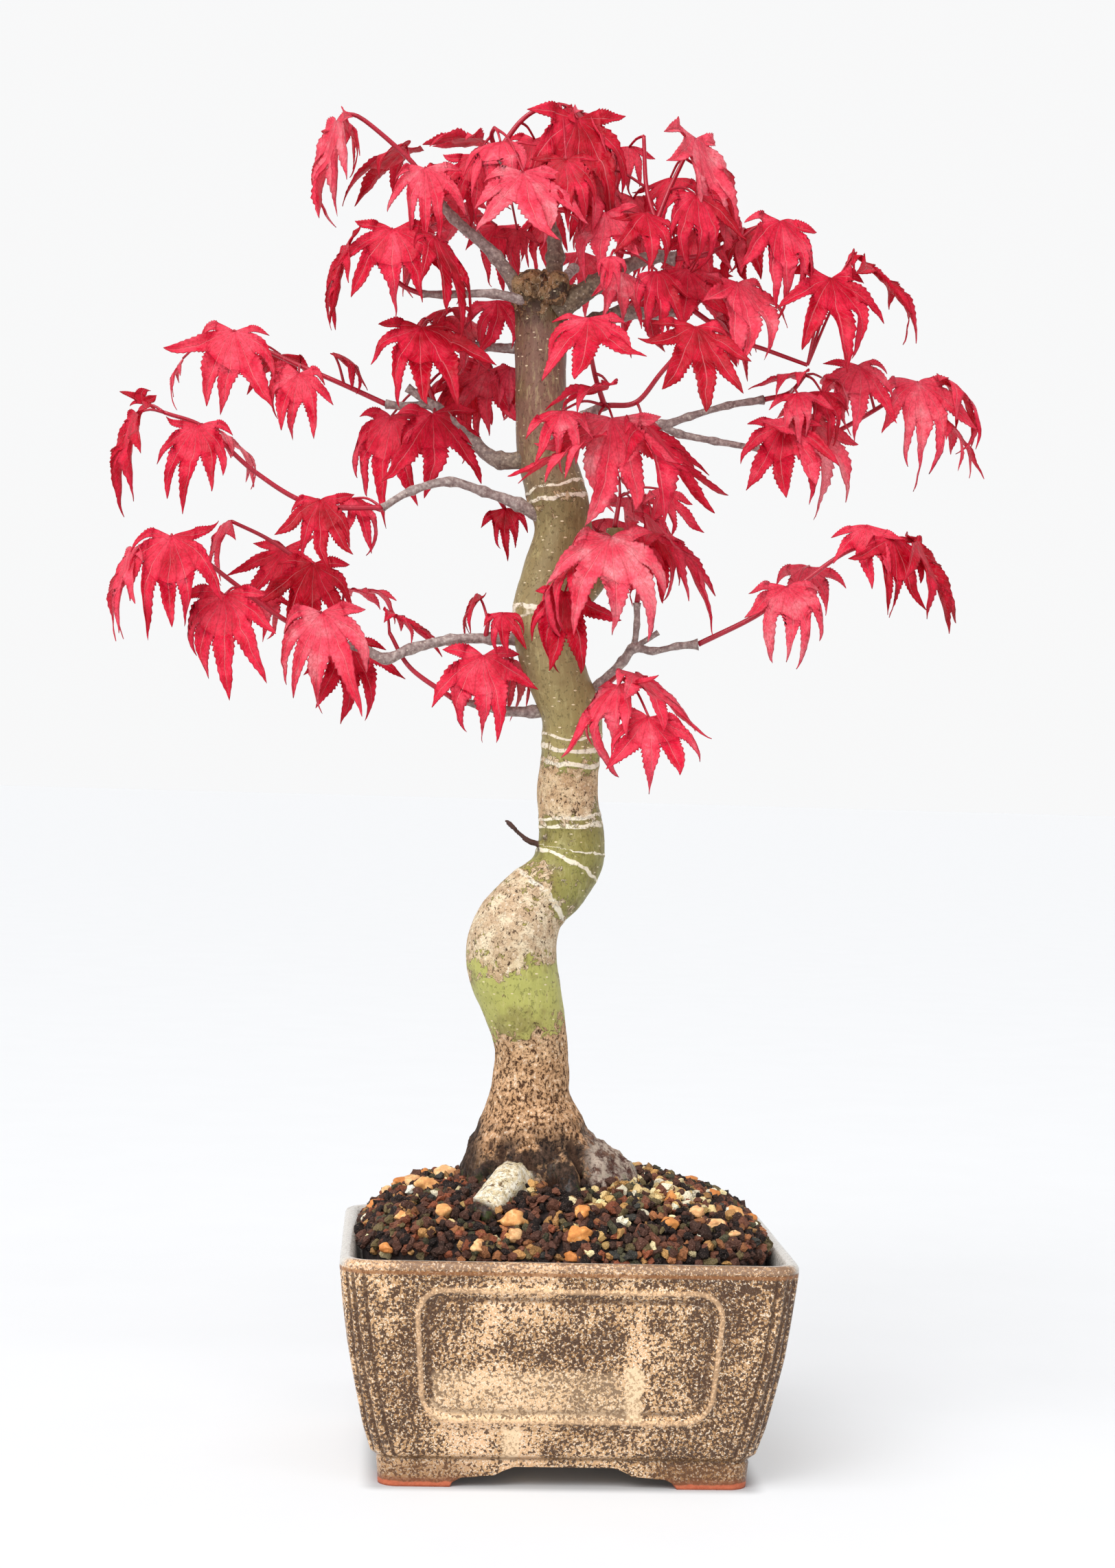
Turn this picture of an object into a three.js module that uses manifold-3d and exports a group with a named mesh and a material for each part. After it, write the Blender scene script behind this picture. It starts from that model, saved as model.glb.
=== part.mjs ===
// A small red maple grown as a bonsai, standing in a glazed rectangular pot.
// Millimetres, +Z up. The origin is on the ground under the middle of the pot.
import * as THREE from "three";
import { mergeVertices } from "three/addons/utils/BufferGeometryUtils.js";
import Module from "manifold-3d";

const wasm = await Module();
wasm.setup();

// ---- Driving dimensions -------------------------------------------------------------------------

const CLEARANCE = 0.35; // gap kept between neighbouring pieces
const DOWN = new THREE.Vector3(0, 0, -1);

const POT_DEPTH_STEP = 18; // how much less the pot's half depth is than its half width
const FLOOR_UNDERSIDE = 7.5;
const FLOOR_TOP = 14;
const RIM_TOP = 83.5;
// Outside of the pot: [height, half width, corner radius].
const POT_OUTSIDE = [
  [0, 67, 7], [9, 67.8, 7], [10.5, 67.4, 7], [12.5, 70, 8], [22, 73, 9], [35.5, 76, 10],
  [49, 78.6, 10], [62.5, 80.6, 11], [76, 82.2, 11], [81.5, 82.6, 11], [RIM_TOP, 81.2, 10],
];
// Inside of the pot, from its floor to above its rim.
const POT_INSIDE = [
  [FLOOR_TOP, 63, 6], [31, 69, 7], [62.5, 74.5, 8], [80, 76.6, 8], [RIM_TOP + 4, 78, 8],
];

// Heights in the soil, pebble and growth lists are counted from this far above the ground.
const LIST_GROUND = 4.7;
// The tree's places are shifted left by this much for each mm that they stand above LEAN_FROM.
const TREE_LEAN = 0.02;
const LEAN_FROM = 140;
const POT_X = 5; // puts the origin under the middle of the whole tree

const SOIL_GAP = 0.4;
// The soil, from the pot's floor to the top of its mound.
const SOIL = [
  [11.8, 63.4, 6], [26.3, 68.6, 7], [57.8, 74.1, 8], [75.3, 76.2, 8], [84, 75, 12],
  [89, 69, 22], [94, 56, 26], [98, 42, 22], [100.5, 26, 8],
];
const MOUND_LEVEL = 4; // the first level of the soil that stands above the wall
const SOIL_LAYER_SQUARENESS = 0.5; // how much of the depth step is left at the top of the mound

// Outline of the gap between two feet: [reach from the middle, height].
const ARCH = [[41, -1], [40.5, 1.5], [37, 3.4], [25, 4.4], [22, 6], [18, 7.5]];
const SIDE_ARCH_SCALE = 0.66;
const UNDERSIDE_HALF_WIDTH = 60;
const DRAIN_PLACES = [["drain_mesh_left", -32], ["drain_mesh_right", 32]];
const DRAIN_RADIUS = 6.5;
const DRAIN_SIDES = 16;
const DRAIN_MESH_SIZE = 22;
const DRAIN_MESH_THICKNESS = 1.4;
const DRAIN_MESH_HOLE = 2.6;
const THROUGH_POT = 200; // long enough to cut right through the pot

// Pebbles half sunk in the soil: [x, y, z, half length, half width, half height, turn in degrees].
const PEBBLES = [
  [-21, -48, 91.5, 6.2, 4.2, 3.6, 5], [3, -54, 87.5, 5, 4, 3.8, 30],
  [-60, 22, 93, 5, 4, 3.2, 15], [53, -43, 90.5, 4.2, 3.2, 2.6, -20],
];

// ---- How the tree grew --------------------------------------------------------------------------
// Limbs are lists of places [x, y, z, radius].

const TRUNK = [
  [-12, 2, 86, 21], [-12, 2, 98, 26], [-13, 1, 111, 24.5], [-14, 0, 121, 21.5], [-14.5, 0, 131, 17],
  [-14, -1, 142, 14.2], [-14, -2, 154, 14], [-17, -4, 167, 15.5], [-21, -5, 181, 17],
  [-20, -5, 192, 16.5], [-14, -3, 203, 14], [-4, 0, 212, 12.6], [1, 2, 222, 12.8],
  [1.5, 3, 232, 12], [0, 2, 246, 11.5], [1, 0, 262, 11.2], [1, -2, 275, 11.5],
  [-4, -3, 288, 11.5], [-9, -3, 301, 11.5], [-11.5, -2, 312, 10.5], [-7, 0, 330, 10.5],
  [-2.5, 2, 345, 11], [-5, 2, 358, 11.5], [-9, 3, 373, 11], [-11, 3, 390, 9.8],
  [-11.5, 4, 410, 9.8], [-11.3, 4, 437, 10.8],
];
const ROOTS = [
  [[-20, 0, 116, 10], [-29, 1, 104, 10], [-36, 3, 90, 8]],
  [[-6, -2, 116, 12], [7, -6, 105, 10], [19, -10, 96, 8], [31, -14, 90, 6], [38, -16, 85, 4]],
  [[-14, -2, 112, 13], [-15, -16, 100, 10], [-16, -28, 90, 7]],
  [[-10, 4, 112, 13], [-8, 18, 100, 9], [-4, 34, 88, 5]],
];
const CUT_ROOT = [[-19, -20, 106, 5], [-22, -27, 106, 6.2], [-26, -33, 102, 6.4], [-30, -38, 97, 6.3], [-35, -44, 91, 6]];
const DEAD_STUB = [[-1, 4, 314, 5], [13, 9, 330, 4.2], [18, 12, 341, 4], [18, 12, 348, 3.8]];
const DEAD_TWIG = [[0, -1, 226, 1.8], [-14, -4, 227, 1.3], [-24, -6, 235, 0.8]];

const BRANCHES = {
  branch_apex_left: [[[-15, 2, 428, 3.6], [-29, 2, 448, 2.4], [-45, 3, 462, 1.9], [-55, 2, 474, 1.5]]],
  branch_apex_centre: [
    [[-9, 4, 430, 4], [-6, 8, 450, 3.2], [-9, 10, 463, 2.8], [-21, 8, 474, 2.2], [-29, 4, 488, 1.5]],
  ],
  branch_apex_right: [
    [[-6, -3, 427, 4.5], [8, -8, 437, 3.4], [18, -10, 443, 2.8], [30, -10, 448, 2.4], [38, -12, 447, 2.2]],
    [[30, -10, 448, 2], [31, -8, 461, 1.5]],
  ],
  branch_right_high: [
    [[-4, 6, 419, 4.5], [10, 6, 425, 3.6], [20, 5, 429, 2.8], [35, 4, 429, 2], [46, 3, 431, 1.5]],
  ],
  branch_left_upper: [[[-15, -4, 430, 2.4], [-30, -8, 432, 1.6], [-48, -8, 431, 1.4], [-57, -8, 431, 1.2]]],
  branch_left_dark: [[[-14, 6, 414, 2.2], [-33, 10, 415, 1.6], [-44, 12, 417, 1.2]]],
  branch_left_high: [
    [[-12, 2, 372, 3.8], [-27, 2, 371, 3], [-36, 4, 377, 2.4], [-51, 8, 391, 1.9], [-61, 10, 391, 1.6],
      [-70, 12, 392, 1.5]],
    [[-51, 8, 391, 1.8], [-62, 8, 398, 1.5]],
  ],
  branch_left_mid: [
    [[-8, 0, 348, 3.2], [-20, -3, 354, 2.3], [-33, -6, 358, 1.8], [-46, -8, 361, 1.7],
      [-60, -10, 357, 1.5], [-71, -12, 350, 1.3]],
  ],
  branch_left_low: [
    [[-12, -2, 303, 3.2], [-30, -4, 303, 2.1], [-45, -6, 302, 1.9], [-60, -8, 298, 1.9],
      [-69, -9, 294, 2], [-77, -10, 297, 1.6], [-86, -11, 299, 1.3]],
  ],
  branch_left_lowest: [
    [[-5, 0, 277, 3], [-14, -2, 276, 2.2], [-25, -3, 276, 1.8], [-35, -4, 278, 1.3], [-44, -5, 280, 1.5]],
  ],
  branch_right_mid: [
    [[-7, 4, 381, 3.5], [9, 4, 384, 2.6], [22, 4, 387, 2], [35, 6, 387, 1.8], [46, 8, 391, 1.4],
      [61, 10, 396, 1.3], [75, 12, 399, 1.5]],
    [[35, 6, 387, 1.6], [42, 7, 384, 1.4], [56, 9, 382, 1.3], [74, 12, 380, 1.2]],
  ],
  branch_right_low: [
    [[2, -2, 278, 3], [12, -4, 287, 2.2], [20, -6, 296, 1.7], [24, -7, 301, 1.7], [31, -8, 300, 1.3],
      [40, -9, 302, 1.2], [48, -10, 303, 1.8]],
    [[24, -7, 301, 1.3], [25, -7, 310, 1.1], [25, -7, 318, 1.3]],
    [[24, -7, 301, 1.2], [33, -9, 307, 0.9]],
  ],
  branch_front: [[[-9, 0, 376, 3], [0, -18, 384, 2], [10, -34, 388, 1.6]]],
  branch_back_high: [[[-11, 6, 425, 3.6], [-6, 28, 440, 2.6], [4, 50, 454, 1.8]]],
  branch_back_mid: [[[-9, 6, 373, 3.4], [-14, 28, 387, 2.4], [-23, 46, 402, 1.6]]],
  branch_back_low: [[[-9, 4, 318, 3], [-2, 26, 330, 2.2], [8, 42, 342, 1.6]]],
};

// Leafy shoots. stem: places [x, y, z] of the red stem. leaves: the middle of each leaf [x, y, z], the
// compass angle it points to, how far it hangs below level, both in degrees, and its length.
const SHOOTS = {
  shoot_crown_left: {
    stem: [[-55, 2, 474], [-62, 0, 483], [-79, -4, 496], [-86, -5, 498]],
    leaves: [[-89, -8, 494, 200, 78, 40], [-87, -2, 498, 5, 50, 23], [-56, -14, 477, -88, 68, 33],
      [-63, 12, 490, 170, 25, 34], [-45, 14, 484, -60, 40, 28]],
  },
  shoot_crown_centre: {
    stem: [[-29, 4, 488], [-31, 0, 493], [-30, -5, 495]],
    leaves: [[-34, 8, 493, 172, -5, 28], [-28, -12, 488, -110, 20, 30], [-20, -26, 474, -85, 55, 39],
      [-36, -4, 484, -90, 66, 30], [-20, 20, 462, -85, 70, 16]],
  },
  shoot_crown_top: {
    stem: [[-28, 6, 489], [-20, 5, 500], [-13, 4, 505], [-5, 3, 507]],
    leaves: [[-3, 0, 505, 200, 80, 25], [2, 8, 505, 0, 42, 40], [1, -8, 499, -75, 72, 47],
      [-14, 14, 496, -100, 60, 30], [-4, -22, 480, -100, 60, 32]],
  },
  shoot_crown_right: {
    stem: [[31, -8, 461], [36, -6, 474], [42, -4, 487]],
    leaves: [[46, -6, 494, -40, 66, 44], [38, 8, 482, -120, 60, 28], [58, 6, 473, -30, 68, 34],
      [45, -18, 470, -80, 66, 32], [48, 10, 462, -110, 60, 30]],
  },
  shoot_crown_upright: {
    stem: [[31, -8, 461], [28, 0, 476], [27, 2, 496]],
    leaves: [[22, 8, 493, -100, 75, 20], [8, -4, 481, -40, 55, 34], [12, -14, 463, -110, 60, 30],
      [24, 10, 474, -60, 60, 32], [26, -20, 462, -75, 55, 28]],
  },
  shoot_crown_front: {
    stem: [[18, -12, 443], [15, -22, 447]],
    leaves: [[12, -32, 443, -90, 60, 16], [17, -20, 440, -80, 72, 26], [30, -24, 440, -60, 70, 28]],
  },
  shoot_upper_left: {
    stem: [[-57, -8, 431], [-63, -9, 433], [-70, -10, 438], [-78, -11, 446]],
    leaves: [[-85, -14, 447, 195, 72, 36], [-68, -18, 453, -95, 58, 36], [-53, -20, 450, -30, 48, 39]],
  },
  shoot_upper_left_face: {
    stem: [[-44, 12, 417], [-52, 4, 421]],
    leaves: [[-57, -16, 417, -82, 52, 39], [-46, 8, 429, -140, 15, 30], [-28, 6, 432, -85, 66, 24],
      [-42, 14, 427, -50, 45, 28]],
  },
  shoot_left_high: {
    stem: [[-70, 12, 392], [-86, 14, 399], [-103, 16, 406], [-121, 18, 413], [-140, 20, 413]],
    leaves: [[-90, 8, 410, -10, 12, 21], [-103, 6, 402, -100, 68, 30], [-128, 12, 418, -95, 62, 37],
      [-148, 22, 408, 190, 55, 20], [-111, 28, 412, 100, 40, 26]],
  },
  shoot_left_high_inner: {
    stem: [[-51, 8, 391], [-54, 12, 400]],
    leaves: [[-68, 16, 388, -115, 62, 41], [-52, 4, 388, -80, 66, 37], [-45, 18, 407, 180, 40, 26]],
  },
  shoot_left_mid: {
    stem: [[-71, -12, 350], [-97, -16, 350], [-118, -19, 361], [-136, -22, 376], [-151, -24, 381]],
    leaves: [[-94, -24, 351, -90, 68, 29], [-82, -4, 354, -50, 42, 25], [-138, -30, 376, -105, 66, 32],
      [-131, -12, 376, 0, 30, 28], [-161, -26, 380, 200, 72, 38], [-159, -22, 384, 120, -70, 10]],
  },
  shoot_left_mid_lower: {
    stem: [[-77, -9, 297], [-86, 0, 312], [-98, 6, 327], [-113, 8, 338], [-128, 8, 345]],
    leaves: [[-130, 6, 344, 200, 58, 27], [-108, 14, 336, -110, 66, 31], [-97, -4, 329, -80, 60, 35],
      [-85, 10, 321, 10, -5, 28]],
  },
  shoot_left_low: {
    stem: [[-86, -11, 299], [-105, -15, 306], [-123, -19, 318], [-142, -23, 332], [-148, -24, 335]],
    leaves: [[-128, -27, 315, -100, 64, 39], [-147, -33, 335, -92, 64, 40], [-162, -26, 330, 200, 64, 36],
      [-117, -8, 318, -60, 50, 24], [-93, -22, 310, -95, 72, 41], [-84, 0, 300, -80, 62, 33]],
  },
  shoot_left_lowest_tip: {
    stem: [[-44, -5, 280], [-60, -5, 291], [-68, -4, 304]],
    leaves: [[-69, 2, 313, -10, 28, 28]],
  },
  shoot_left_lowest: {
    stem: [[-25, -3, 277], [-23, -4, 288], [-22, -4, 295]],
    leaves: [[-33, -12, 296, -95, 68, 35], [-21, 8, 296, -40, 66, 26]],
  },
  shoot_trunk_left: {
    stem: [[-32, -5, 303], [-31, -8, 309]],
    leaves: [[-35, 2, 320, 190, 62, 20], [-26, -16, 312, -80, 55, 18]],
  },
  shoot_left_small: {
    stem: [[-28, -4, 357], [-25, 8, 354]],
    leaves: [[-24, 14, 354, -90, 66, 20]],
  },
  shoot_left_back: {
    stem: [[-14, 27, 386], [-22, 22, 399]],
    leaves: [[-31, 22, 408, -110, 66, 30], [-23, 12, 407, -80, 76, 19], [-40, 26, 402, -90, 62, 30]],
  },
  shoot_front_upper: {
    stem: [[10, -34, 388], [6, -38, 399], [3, -42, 413]],
    leaves: [[3, -50, 417, -100, 50, 35], [11, -44, 394, 185, 8, 27], [-6, -46, 384, -100, 42, 28],
      [5, -42, 375, 188, 24, 39], [12, -46, 382, -90, 80, 42]],
  },
  shoot_right_inner_high: {
    stem: [[11, -34, 388], [22, -32, 390], [31, -34, 401], [42, -38, 414]],
    leaves: [[42, -46, 416, -85, 56, 35], [24, -38, 381, -32, 46, 45]],
  },
  shoot_front_low: {
    stem: [[0, -8, 332], [5, -22, 337], [8, -34, 340]],
    leaves: [[12, -44, 339, -92, 60, 42], [1, -36, 331, 188, 28, 35], [-4, -34, 319, -105, 78, 30]],
  },
  shoot_right_inner: {
    stem: [[25, -7, 318], [27, -6, 332], [28, -5, 346]],
    leaves: [[28, -12, 350, -22, 42, 47], [23, -4, 340, -95, 76, 25], [31, 4, 347, -60, 58, 31]],
  },
  shoot_right_inner_back: {
    stem: [[18, 12, 348], [20, 14, 360]],
    leaves: [[20, 18, 368, -10, 25, 22], [36, 10, 363, -50, 60, 24], [25, 26, 361, 40, 45, 26]],
  },
  shoot_low_right_front: {
    stem: [[13, -6, 286], [17, -20, 290], [18, -32, 288]],
    leaves: [[16, -38, 286, 215, 44, 36], [22, -34, 290, -30, 30, 36], [26, -48, 274, -90, 58, 31]],
  },
  shoot_right_low: {
    stem: [[48, -10, 303], [69, -12, 314], [84, -13, 325], [103, -14, 339], [119, -15, 344]],
    leaves: [[80, -20, 325, -90, 48, 34], [110, -18, 349, -105, 62, 25], [119, -22, 344, -72, 68, 31],
      [130, -12, 344, -25, 58, 36], [92, 4, 335, 80, 40, 26]],
  },
  shoot_right_mid: {
    stem: [[74, 12, 380], [90, 18, 384], [103, 20, 388], [120, 22, 398], [133, 24, 407], [144, 25, 412]],
    leaves: [[81, -4, 388, -95, 64, 35], [91, 6, 393, -50, 58, 39], [112, 14, 414, -95, 56, 31],
      [136, 18, 409, -82, 62, 41], [148, 26, 412, -8, 26, 37], [145, 30, 401, -15, 38, 36]],
  },
  shoot_right_mid_upper: {
    stem: [[75, 12, 399], [85, 12, 402], [91, 12, 409]],
    leaves: [[86, -2, 400, -90, 50, 24], [90, 6, 409, 178, 8, 24], [98, 16, 409, 0, 25, 22],
      [96, 4, 402, -70, 60, 26]],
  },
  shoot_right_high: {
    stem: [[46, 3, 431], [62, 4, 421], [75, 5, 417], [91, 6, 412]],
    leaves: [[62, -8, 440, -60, 56, 37], [57, 14, 430, 20, 40, 26], [98, -4, 444, -72, 62, 39],
      [108, 4, 455, 185, 70, 17], [113, 6, 452, -25, 40, 41]],
  },
  shoot_right_top: {
    stem: [[38, -12, 447], [50, -8, 450], [64, -2, 458]],
    leaves: [[78, -6, 464, -65, 58, 39], [67, 10, 464, -110, 60, 30], [44, 0, 446, -85, 66, 28]],
  },
  shoot_back_crown: {
    stem: [[4, 50, 454], [10, 54, 470], [12, 52, 482]],
    leaves: [[12, 50, 491, 80, 30, 30], [-4, 54, 478, 140, 45, 30], [27, 52, 476, 40, 40, 30],
      [8, 58, 462, 90, 62, 26]],
  },
  shoot_back_crown_left: {
    stem: [[-30, 4, 449], [-35, 20, 460], [-39, 34, 469]],
    leaves: [[-41, 40, 476, 120, 35, 30], [-53, 32, 465, 160, 40, 30], [-27, 46, 469, 80, 55, 28]],
  },
  shoot_back_right: {
    stem: [[20, 6, 429], [30, 22, 439], [43, 36, 447]],
    leaves: [[48, 40, 455, 50, 35, 30], [35, 48, 448, 95, 50, 28], [60, 34, 443, 10, 40, 30]],
  },
  shoot_back_mid: {
    stem: [[-23, 46, 402], [-31, 54, 412]],
    leaves: [[-35, 54, 417, 130, 40, 28], [-16, 54, 413, 80, 50, 28]],
  },
  shoot_back_low: {
    stem: [[8, 42, 342], [14, 50, 350]],
    leaves: [[17, 50, 355, 70, 40, 28], [2, 52, 357, 120, 50, 26], [21, 46, 345, 20, 60, 26]],
  },
};

const TRUNK_SIDES = 11;
const ROOT_SIDES = 8;
const BRANCH_SIDES = 6;
const STEM_SIDES = 5;
const STALK_SIDES = 4;
const STEM_RADII = [1.3, 0.9];
const STALK_RADIUS = 0.7;
const LEAF_THICKNESS = 1.2;
const LEAF_DROOP = 0.85; // radians a lobe bends over its length
const LARGE_LEAF = 30;
// Lobes as [angle from the middle lobe in degrees, length as a share of the leaf's].
const LARGE_LOBES = [[-100, 0.42], [-65, 0.74], [-32, 0.94], [0, 1], [32, 0.94], [65, 0.74], [100, 0.42]];
const SMALL_LOBES = [[-74, 0.62], [-37, 0.9], [0, 1], [37, 0.9], [74, 0.62]];
const NOTCH_REACH = 0.46;
const BASE_REACH = 0.1;
const MIDRIB_REACH = 0.5;
const EDGE_CLEARANCE = 2; // room kept at a blade's edge, as a multiple of the clearance

// ---- Materials ----------------------------------------------------------------------------------

function finish(color, roughness, metalness = 0) {
  return new THREE.MeshStandardMaterial({ color, roughness, metalness });
}

// ---- Solids -------------------------------------------------------------------------------------

function geometryOf(positions, index) {
  const geometry = new THREE.BufferGeometry();
  geometry.setAttribute("position", new THREE.Float32BufferAttribute(positions, 3));
  geometry.setIndex(index);
  return geometry;
}

function solidOf(geometry) {
  geometry.deleteAttribute("normal");
  geometry.deleteAttribute("uv");
  const merged = mergeVertices(geometry, 1e-4);
  return new wasm.Manifold(new wasm.Mesh({
    numProp: 3,
    vertProperties: new Float32Array(merged.attributes.position.array),
    triVerts: new Uint32Array(merged.index.array),
  }));
}

function largestBody(solid) {
  return solid.decompose().reduce((best, body) => (body.volume() > best.volume() ? body : best));
}

function leaning(solid) {
  return solid.transform([1, 0, 0, 0, 0, 1, 0, 0, -TREE_LEAN, 0, 1, 0, TREE_LEAN * LEAN_FROM, 0, 0, 1]);
}

// Adds a piece to the model, raised from the level that its own heights are counted from.
function addPiece(group, name, solid, material, ground = 0) {
  const { vertProperties, triVerts } = solid.translate([POT_X, 0, ground]).getMesh();
  const mesh = new THREE.Mesh(geometryOf(Array.from(vertProperties), Array.from(triVerts)), material);
  mesh.name = name;
  group.add(mesh);
}

// A closed solid through rings of points, lowest or first ring first.
function throughRings(rings) {
  const sides = rings[0].length;
  const positions = rings.flat().flatMap((point) => point.toArray());
  const index = [];
  for (let ring = 0; ring + 1 < rings.length; ring += 1) {
    for (let side = 0; side < sides; side += 1) {
      const a = ring * sides + side;
      const b = ring * sides + ((side + 1) % sides);
      index.push(a, b, b + sides, a, b + sides, a + sides);
    }
  }
  const lastRing = (rings.length - 1) * sides;
  for (let side = 1; side + 1 < sides; side += 1) {
    index.push(0, side + 1, side, lastRing, lastRing + side, lastRing + side + 1);
  }
  return solidOf(geometryOf(positions, index));
}

// A rounded rectangle as a ring of points, level at one height.
function roundedRing(height, halfWidth, halfDepth, corner, steps = 3) {
  const points = [];
  for (let quarter = 0; quarter < 4; quarter += 1) {
    const alongX = quarter === 0 || quarter === 3 ? 1 : -1;
    const alongY = quarter < 2 ? 1 : -1;
    for (let step = 0; step <= steps; step += 1) {
      const angle = (quarter + step / steps) * Math.PI / 2;
      points.push(new THREE.Vector3(
        alongX * (halfWidth - corner) + corner * Math.cos(angle),
        alongY * (halfDepth - corner) + corner * Math.sin(angle),
        height,
      ));
    }
  }
  return points;
}

// A limb through places [x, y, z, radius], each ring square to the way the limb runs.
function limb(places, sides, grow = 0) {
  const centres = places.map(([x, y, z]) => new THREE.Vector3(x, y, z));
  const last = centres.length - 1;
  const headings = centres.map((centre, i) => (
    centres[Math.min(i + 1, last)].clone().sub(centres[Math.max(i - 1, 0)]).normalize()
  ));
  centres[0].addScaledVector(headings[0], -grow);
  centres[last].addScaledVector(headings[last], grow);
  const across = new THREE.Vector3(1, 0, 0);
  if (Math.abs(headings[0].x) > 0.9) across.set(0, 1, 0);
  across.cross(headings[0]).normalize();
  const rings = centres.map((centre, i) => {
    if (i > 0) {
      across.applyQuaternion(new THREE.Quaternion().setFromUnitVectors(headings[i - 1], headings[i]));
    }
    const up = headings[i].clone().cross(across);
    const radius = places[i][3] + grow;
    return Array.from({ length: sides }, (_, side) => {
      const angle = (side / sides) * 2 * Math.PI;
      return centre.clone()
        .addScaledVector(across, radius * Math.cos(angle))
        .addScaledVector(up, radius * Math.sin(angle));
    });
  });
  return throughRings(rings);
}

function limbs(list, sides, grow = 0) {
  return wasm.Manifold.union(list.map((places) => limb(places, sides, grow)));
}

// ---- Pot, soil and pebbles ----------------------------------------------------------------------

function throughLevels(levels, depthStep, shrink = 0) {
  return throughRings(levels.map(([height, halfWidth, corner], level) => roundedRing(
    height, halfWidth - shrink, halfWidth - shrink - depthStep(level), corner,
  )));
}

// The stepped gap between two feet, run right through the pot along Y.
function archCut(scale) {
  const outline = new THREE.Shape();
  ARCH.forEach(([x, z], i) => (i ? outline.lineTo(x * scale, z) : outline.moveTo(x * scale, z)));
  [...ARCH].reverse().forEach(([x, z]) => outline.lineTo(-x * scale, z));
  const geometry = new THREE.ExtrudeGeometry(outline, { depth: THROUGH_POT, bevelEnabled: false });
  return geometry.rotateX(Math.PI / 2).translate(0, THROUGH_POT / 2, 0);
}

function drainHole(x) {
  const hole = new THREE.CylinderGeometry(DRAIN_RADIUS, DRAIN_RADIUS, 4 * FLOOR_TOP, DRAIN_SIDES);
  return hole.rotateX(Math.PI / 2).translate(x, 0, 0);
}

function potSolid() {
  const half = UNDERSIDE_HALF_WIDTH;
  const recess = throughLevels(
    [[-1, half, 5], [FLOOR_UNDERSIDE, half, 5]], () => POT_DEPTH_STEP,
  );
  return throughLevels(POT_OUTSIDE, () => POT_DEPTH_STEP)
    .subtract(throughLevels(POT_INSIDE, () => POT_DEPTH_STEP))
    .subtract(recess)
    .subtract(solidOf(archCut(1)))
    .subtract(solidOf(archCut(SIDE_ARCH_SCALE).rotateZ(Math.PI / 2)))
    .subtract(wasm.Manifold.union(DRAIN_PLACES.map(([, x]) => solidOf(drainHole(x)))));
}

// A square of plastic net with a three by three pattern of openings.
function drainMesh(x) {
  const size = DRAIN_MESH_SIZE;
  const thick = DRAIN_MESH_THICKNESS;
  const height = FLOOR_TOP + CLEARANCE + thick / 2;
  let net = solidOf(new THREE.BoxGeometry(size, size, thick).translate(x, 0, height));
  for (let column = -1; column <= 1; column += 1) {
    for (let row = -1; row <= 1; row += 1) {
      const hole = new THREE.BoxGeometry(DRAIN_MESH_HOLE, DRAIN_MESH_HOLE, 3 * thick);
      hole.translate(x + column * 2 * DRAIN_MESH_HOLE, row * 2 * DRAIN_MESH_HOLE, height);
      net = net.subtract(solidOf(hole));
    }
  }
  return net;
}

function pebble([x, y, z, halfLength, halfWidth, halfHeight, turn], grow = 0) {
  const stone = new THREE.IcosahedronGeometry(1, 1);
  stone.scale(halfLength + grow, halfWidth + grow, halfHeight + grow);
  stone.rotateZ(THREE.MathUtils.degToRad(turn));
  return solidOf(stone.translate(x, y, z));
}

function soilSolid() {
  const top = SOIL.length - 1;
  const step = (level) => {
    const raised = Math.max(0, level - MOUND_LEVEL) / (top - MOUND_LEVEL);
    return POT_DEPTH_STEP * (1 - raised * (1 - SOIL_LAYER_SQUARENESS));
  };
  return throughLevels(SOIL, step, SOIL_GAP);
}

// ---- Wood ---------------------------------------------------------------------------------------

function trunkSolid(grow = 0) {
  return limb(TRUNK, TRUNK_SIDES, grow)
    .add(limbs([...ROOTS, CUT_ROOT], ROOT_SIDES, grow))
    .add(limb(DEAD_STUB, BRANCH_SIDES, grow))
    .add(limb(DEAD_TWIG, STALK_SIDES, grow));
}

// ---- Leaves -------------------------------------------------------------------------------------

function leafFrame([x, y, z, compass, hang, length]) {
  const turn = THREE.MathUtils.degToRad(compass);
  const dip = THREE.MathUtils.degToRad(hang);
  const level = new THREE.Vector3(Math.cos(turn), Math.sin(turn), 0);
  const along = level.clone().multiplyScalar(Math.cos(dip)).addScaledVector(DOWN, Math.sin(dip));
  const face = level.clone().multiplyScalar(Math.sin(dip)).addScaledVector(DOWN, -Math.cos(dip));
  const across = face.clone().cross(along);
  return { palm: new THREE.Vector3(x, y, z), along, across, face, length };
}

// A point on a drooping blade: angle from the middle lobe, distance from the palm, height off the blade.
function bladePoint(leaf, angle, reach, lift = 0) {
  const flat = leaf.along.clone().multiplyScalar(Math.cos(angle));
  flat.addScaledVector(leaf.across, Math.sin(angle));
  const sag = DOWN.clone().addScaledVector(flat, -DOWN.dot(flat));
  const bend = Math.max(1e-3, LEAF_DROOP * sag.length() * reach / leaf.length);
  const radius = reach / bend;
  return leaf.palm.clone()
    .addScaledVector(flat, radius * Math.sin(bend))
    .addScaledVector(sag.normalize(), radius * (1 - Math.cos(bend)))
    .addScaledVector(leaf.face, lift);
}

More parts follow.
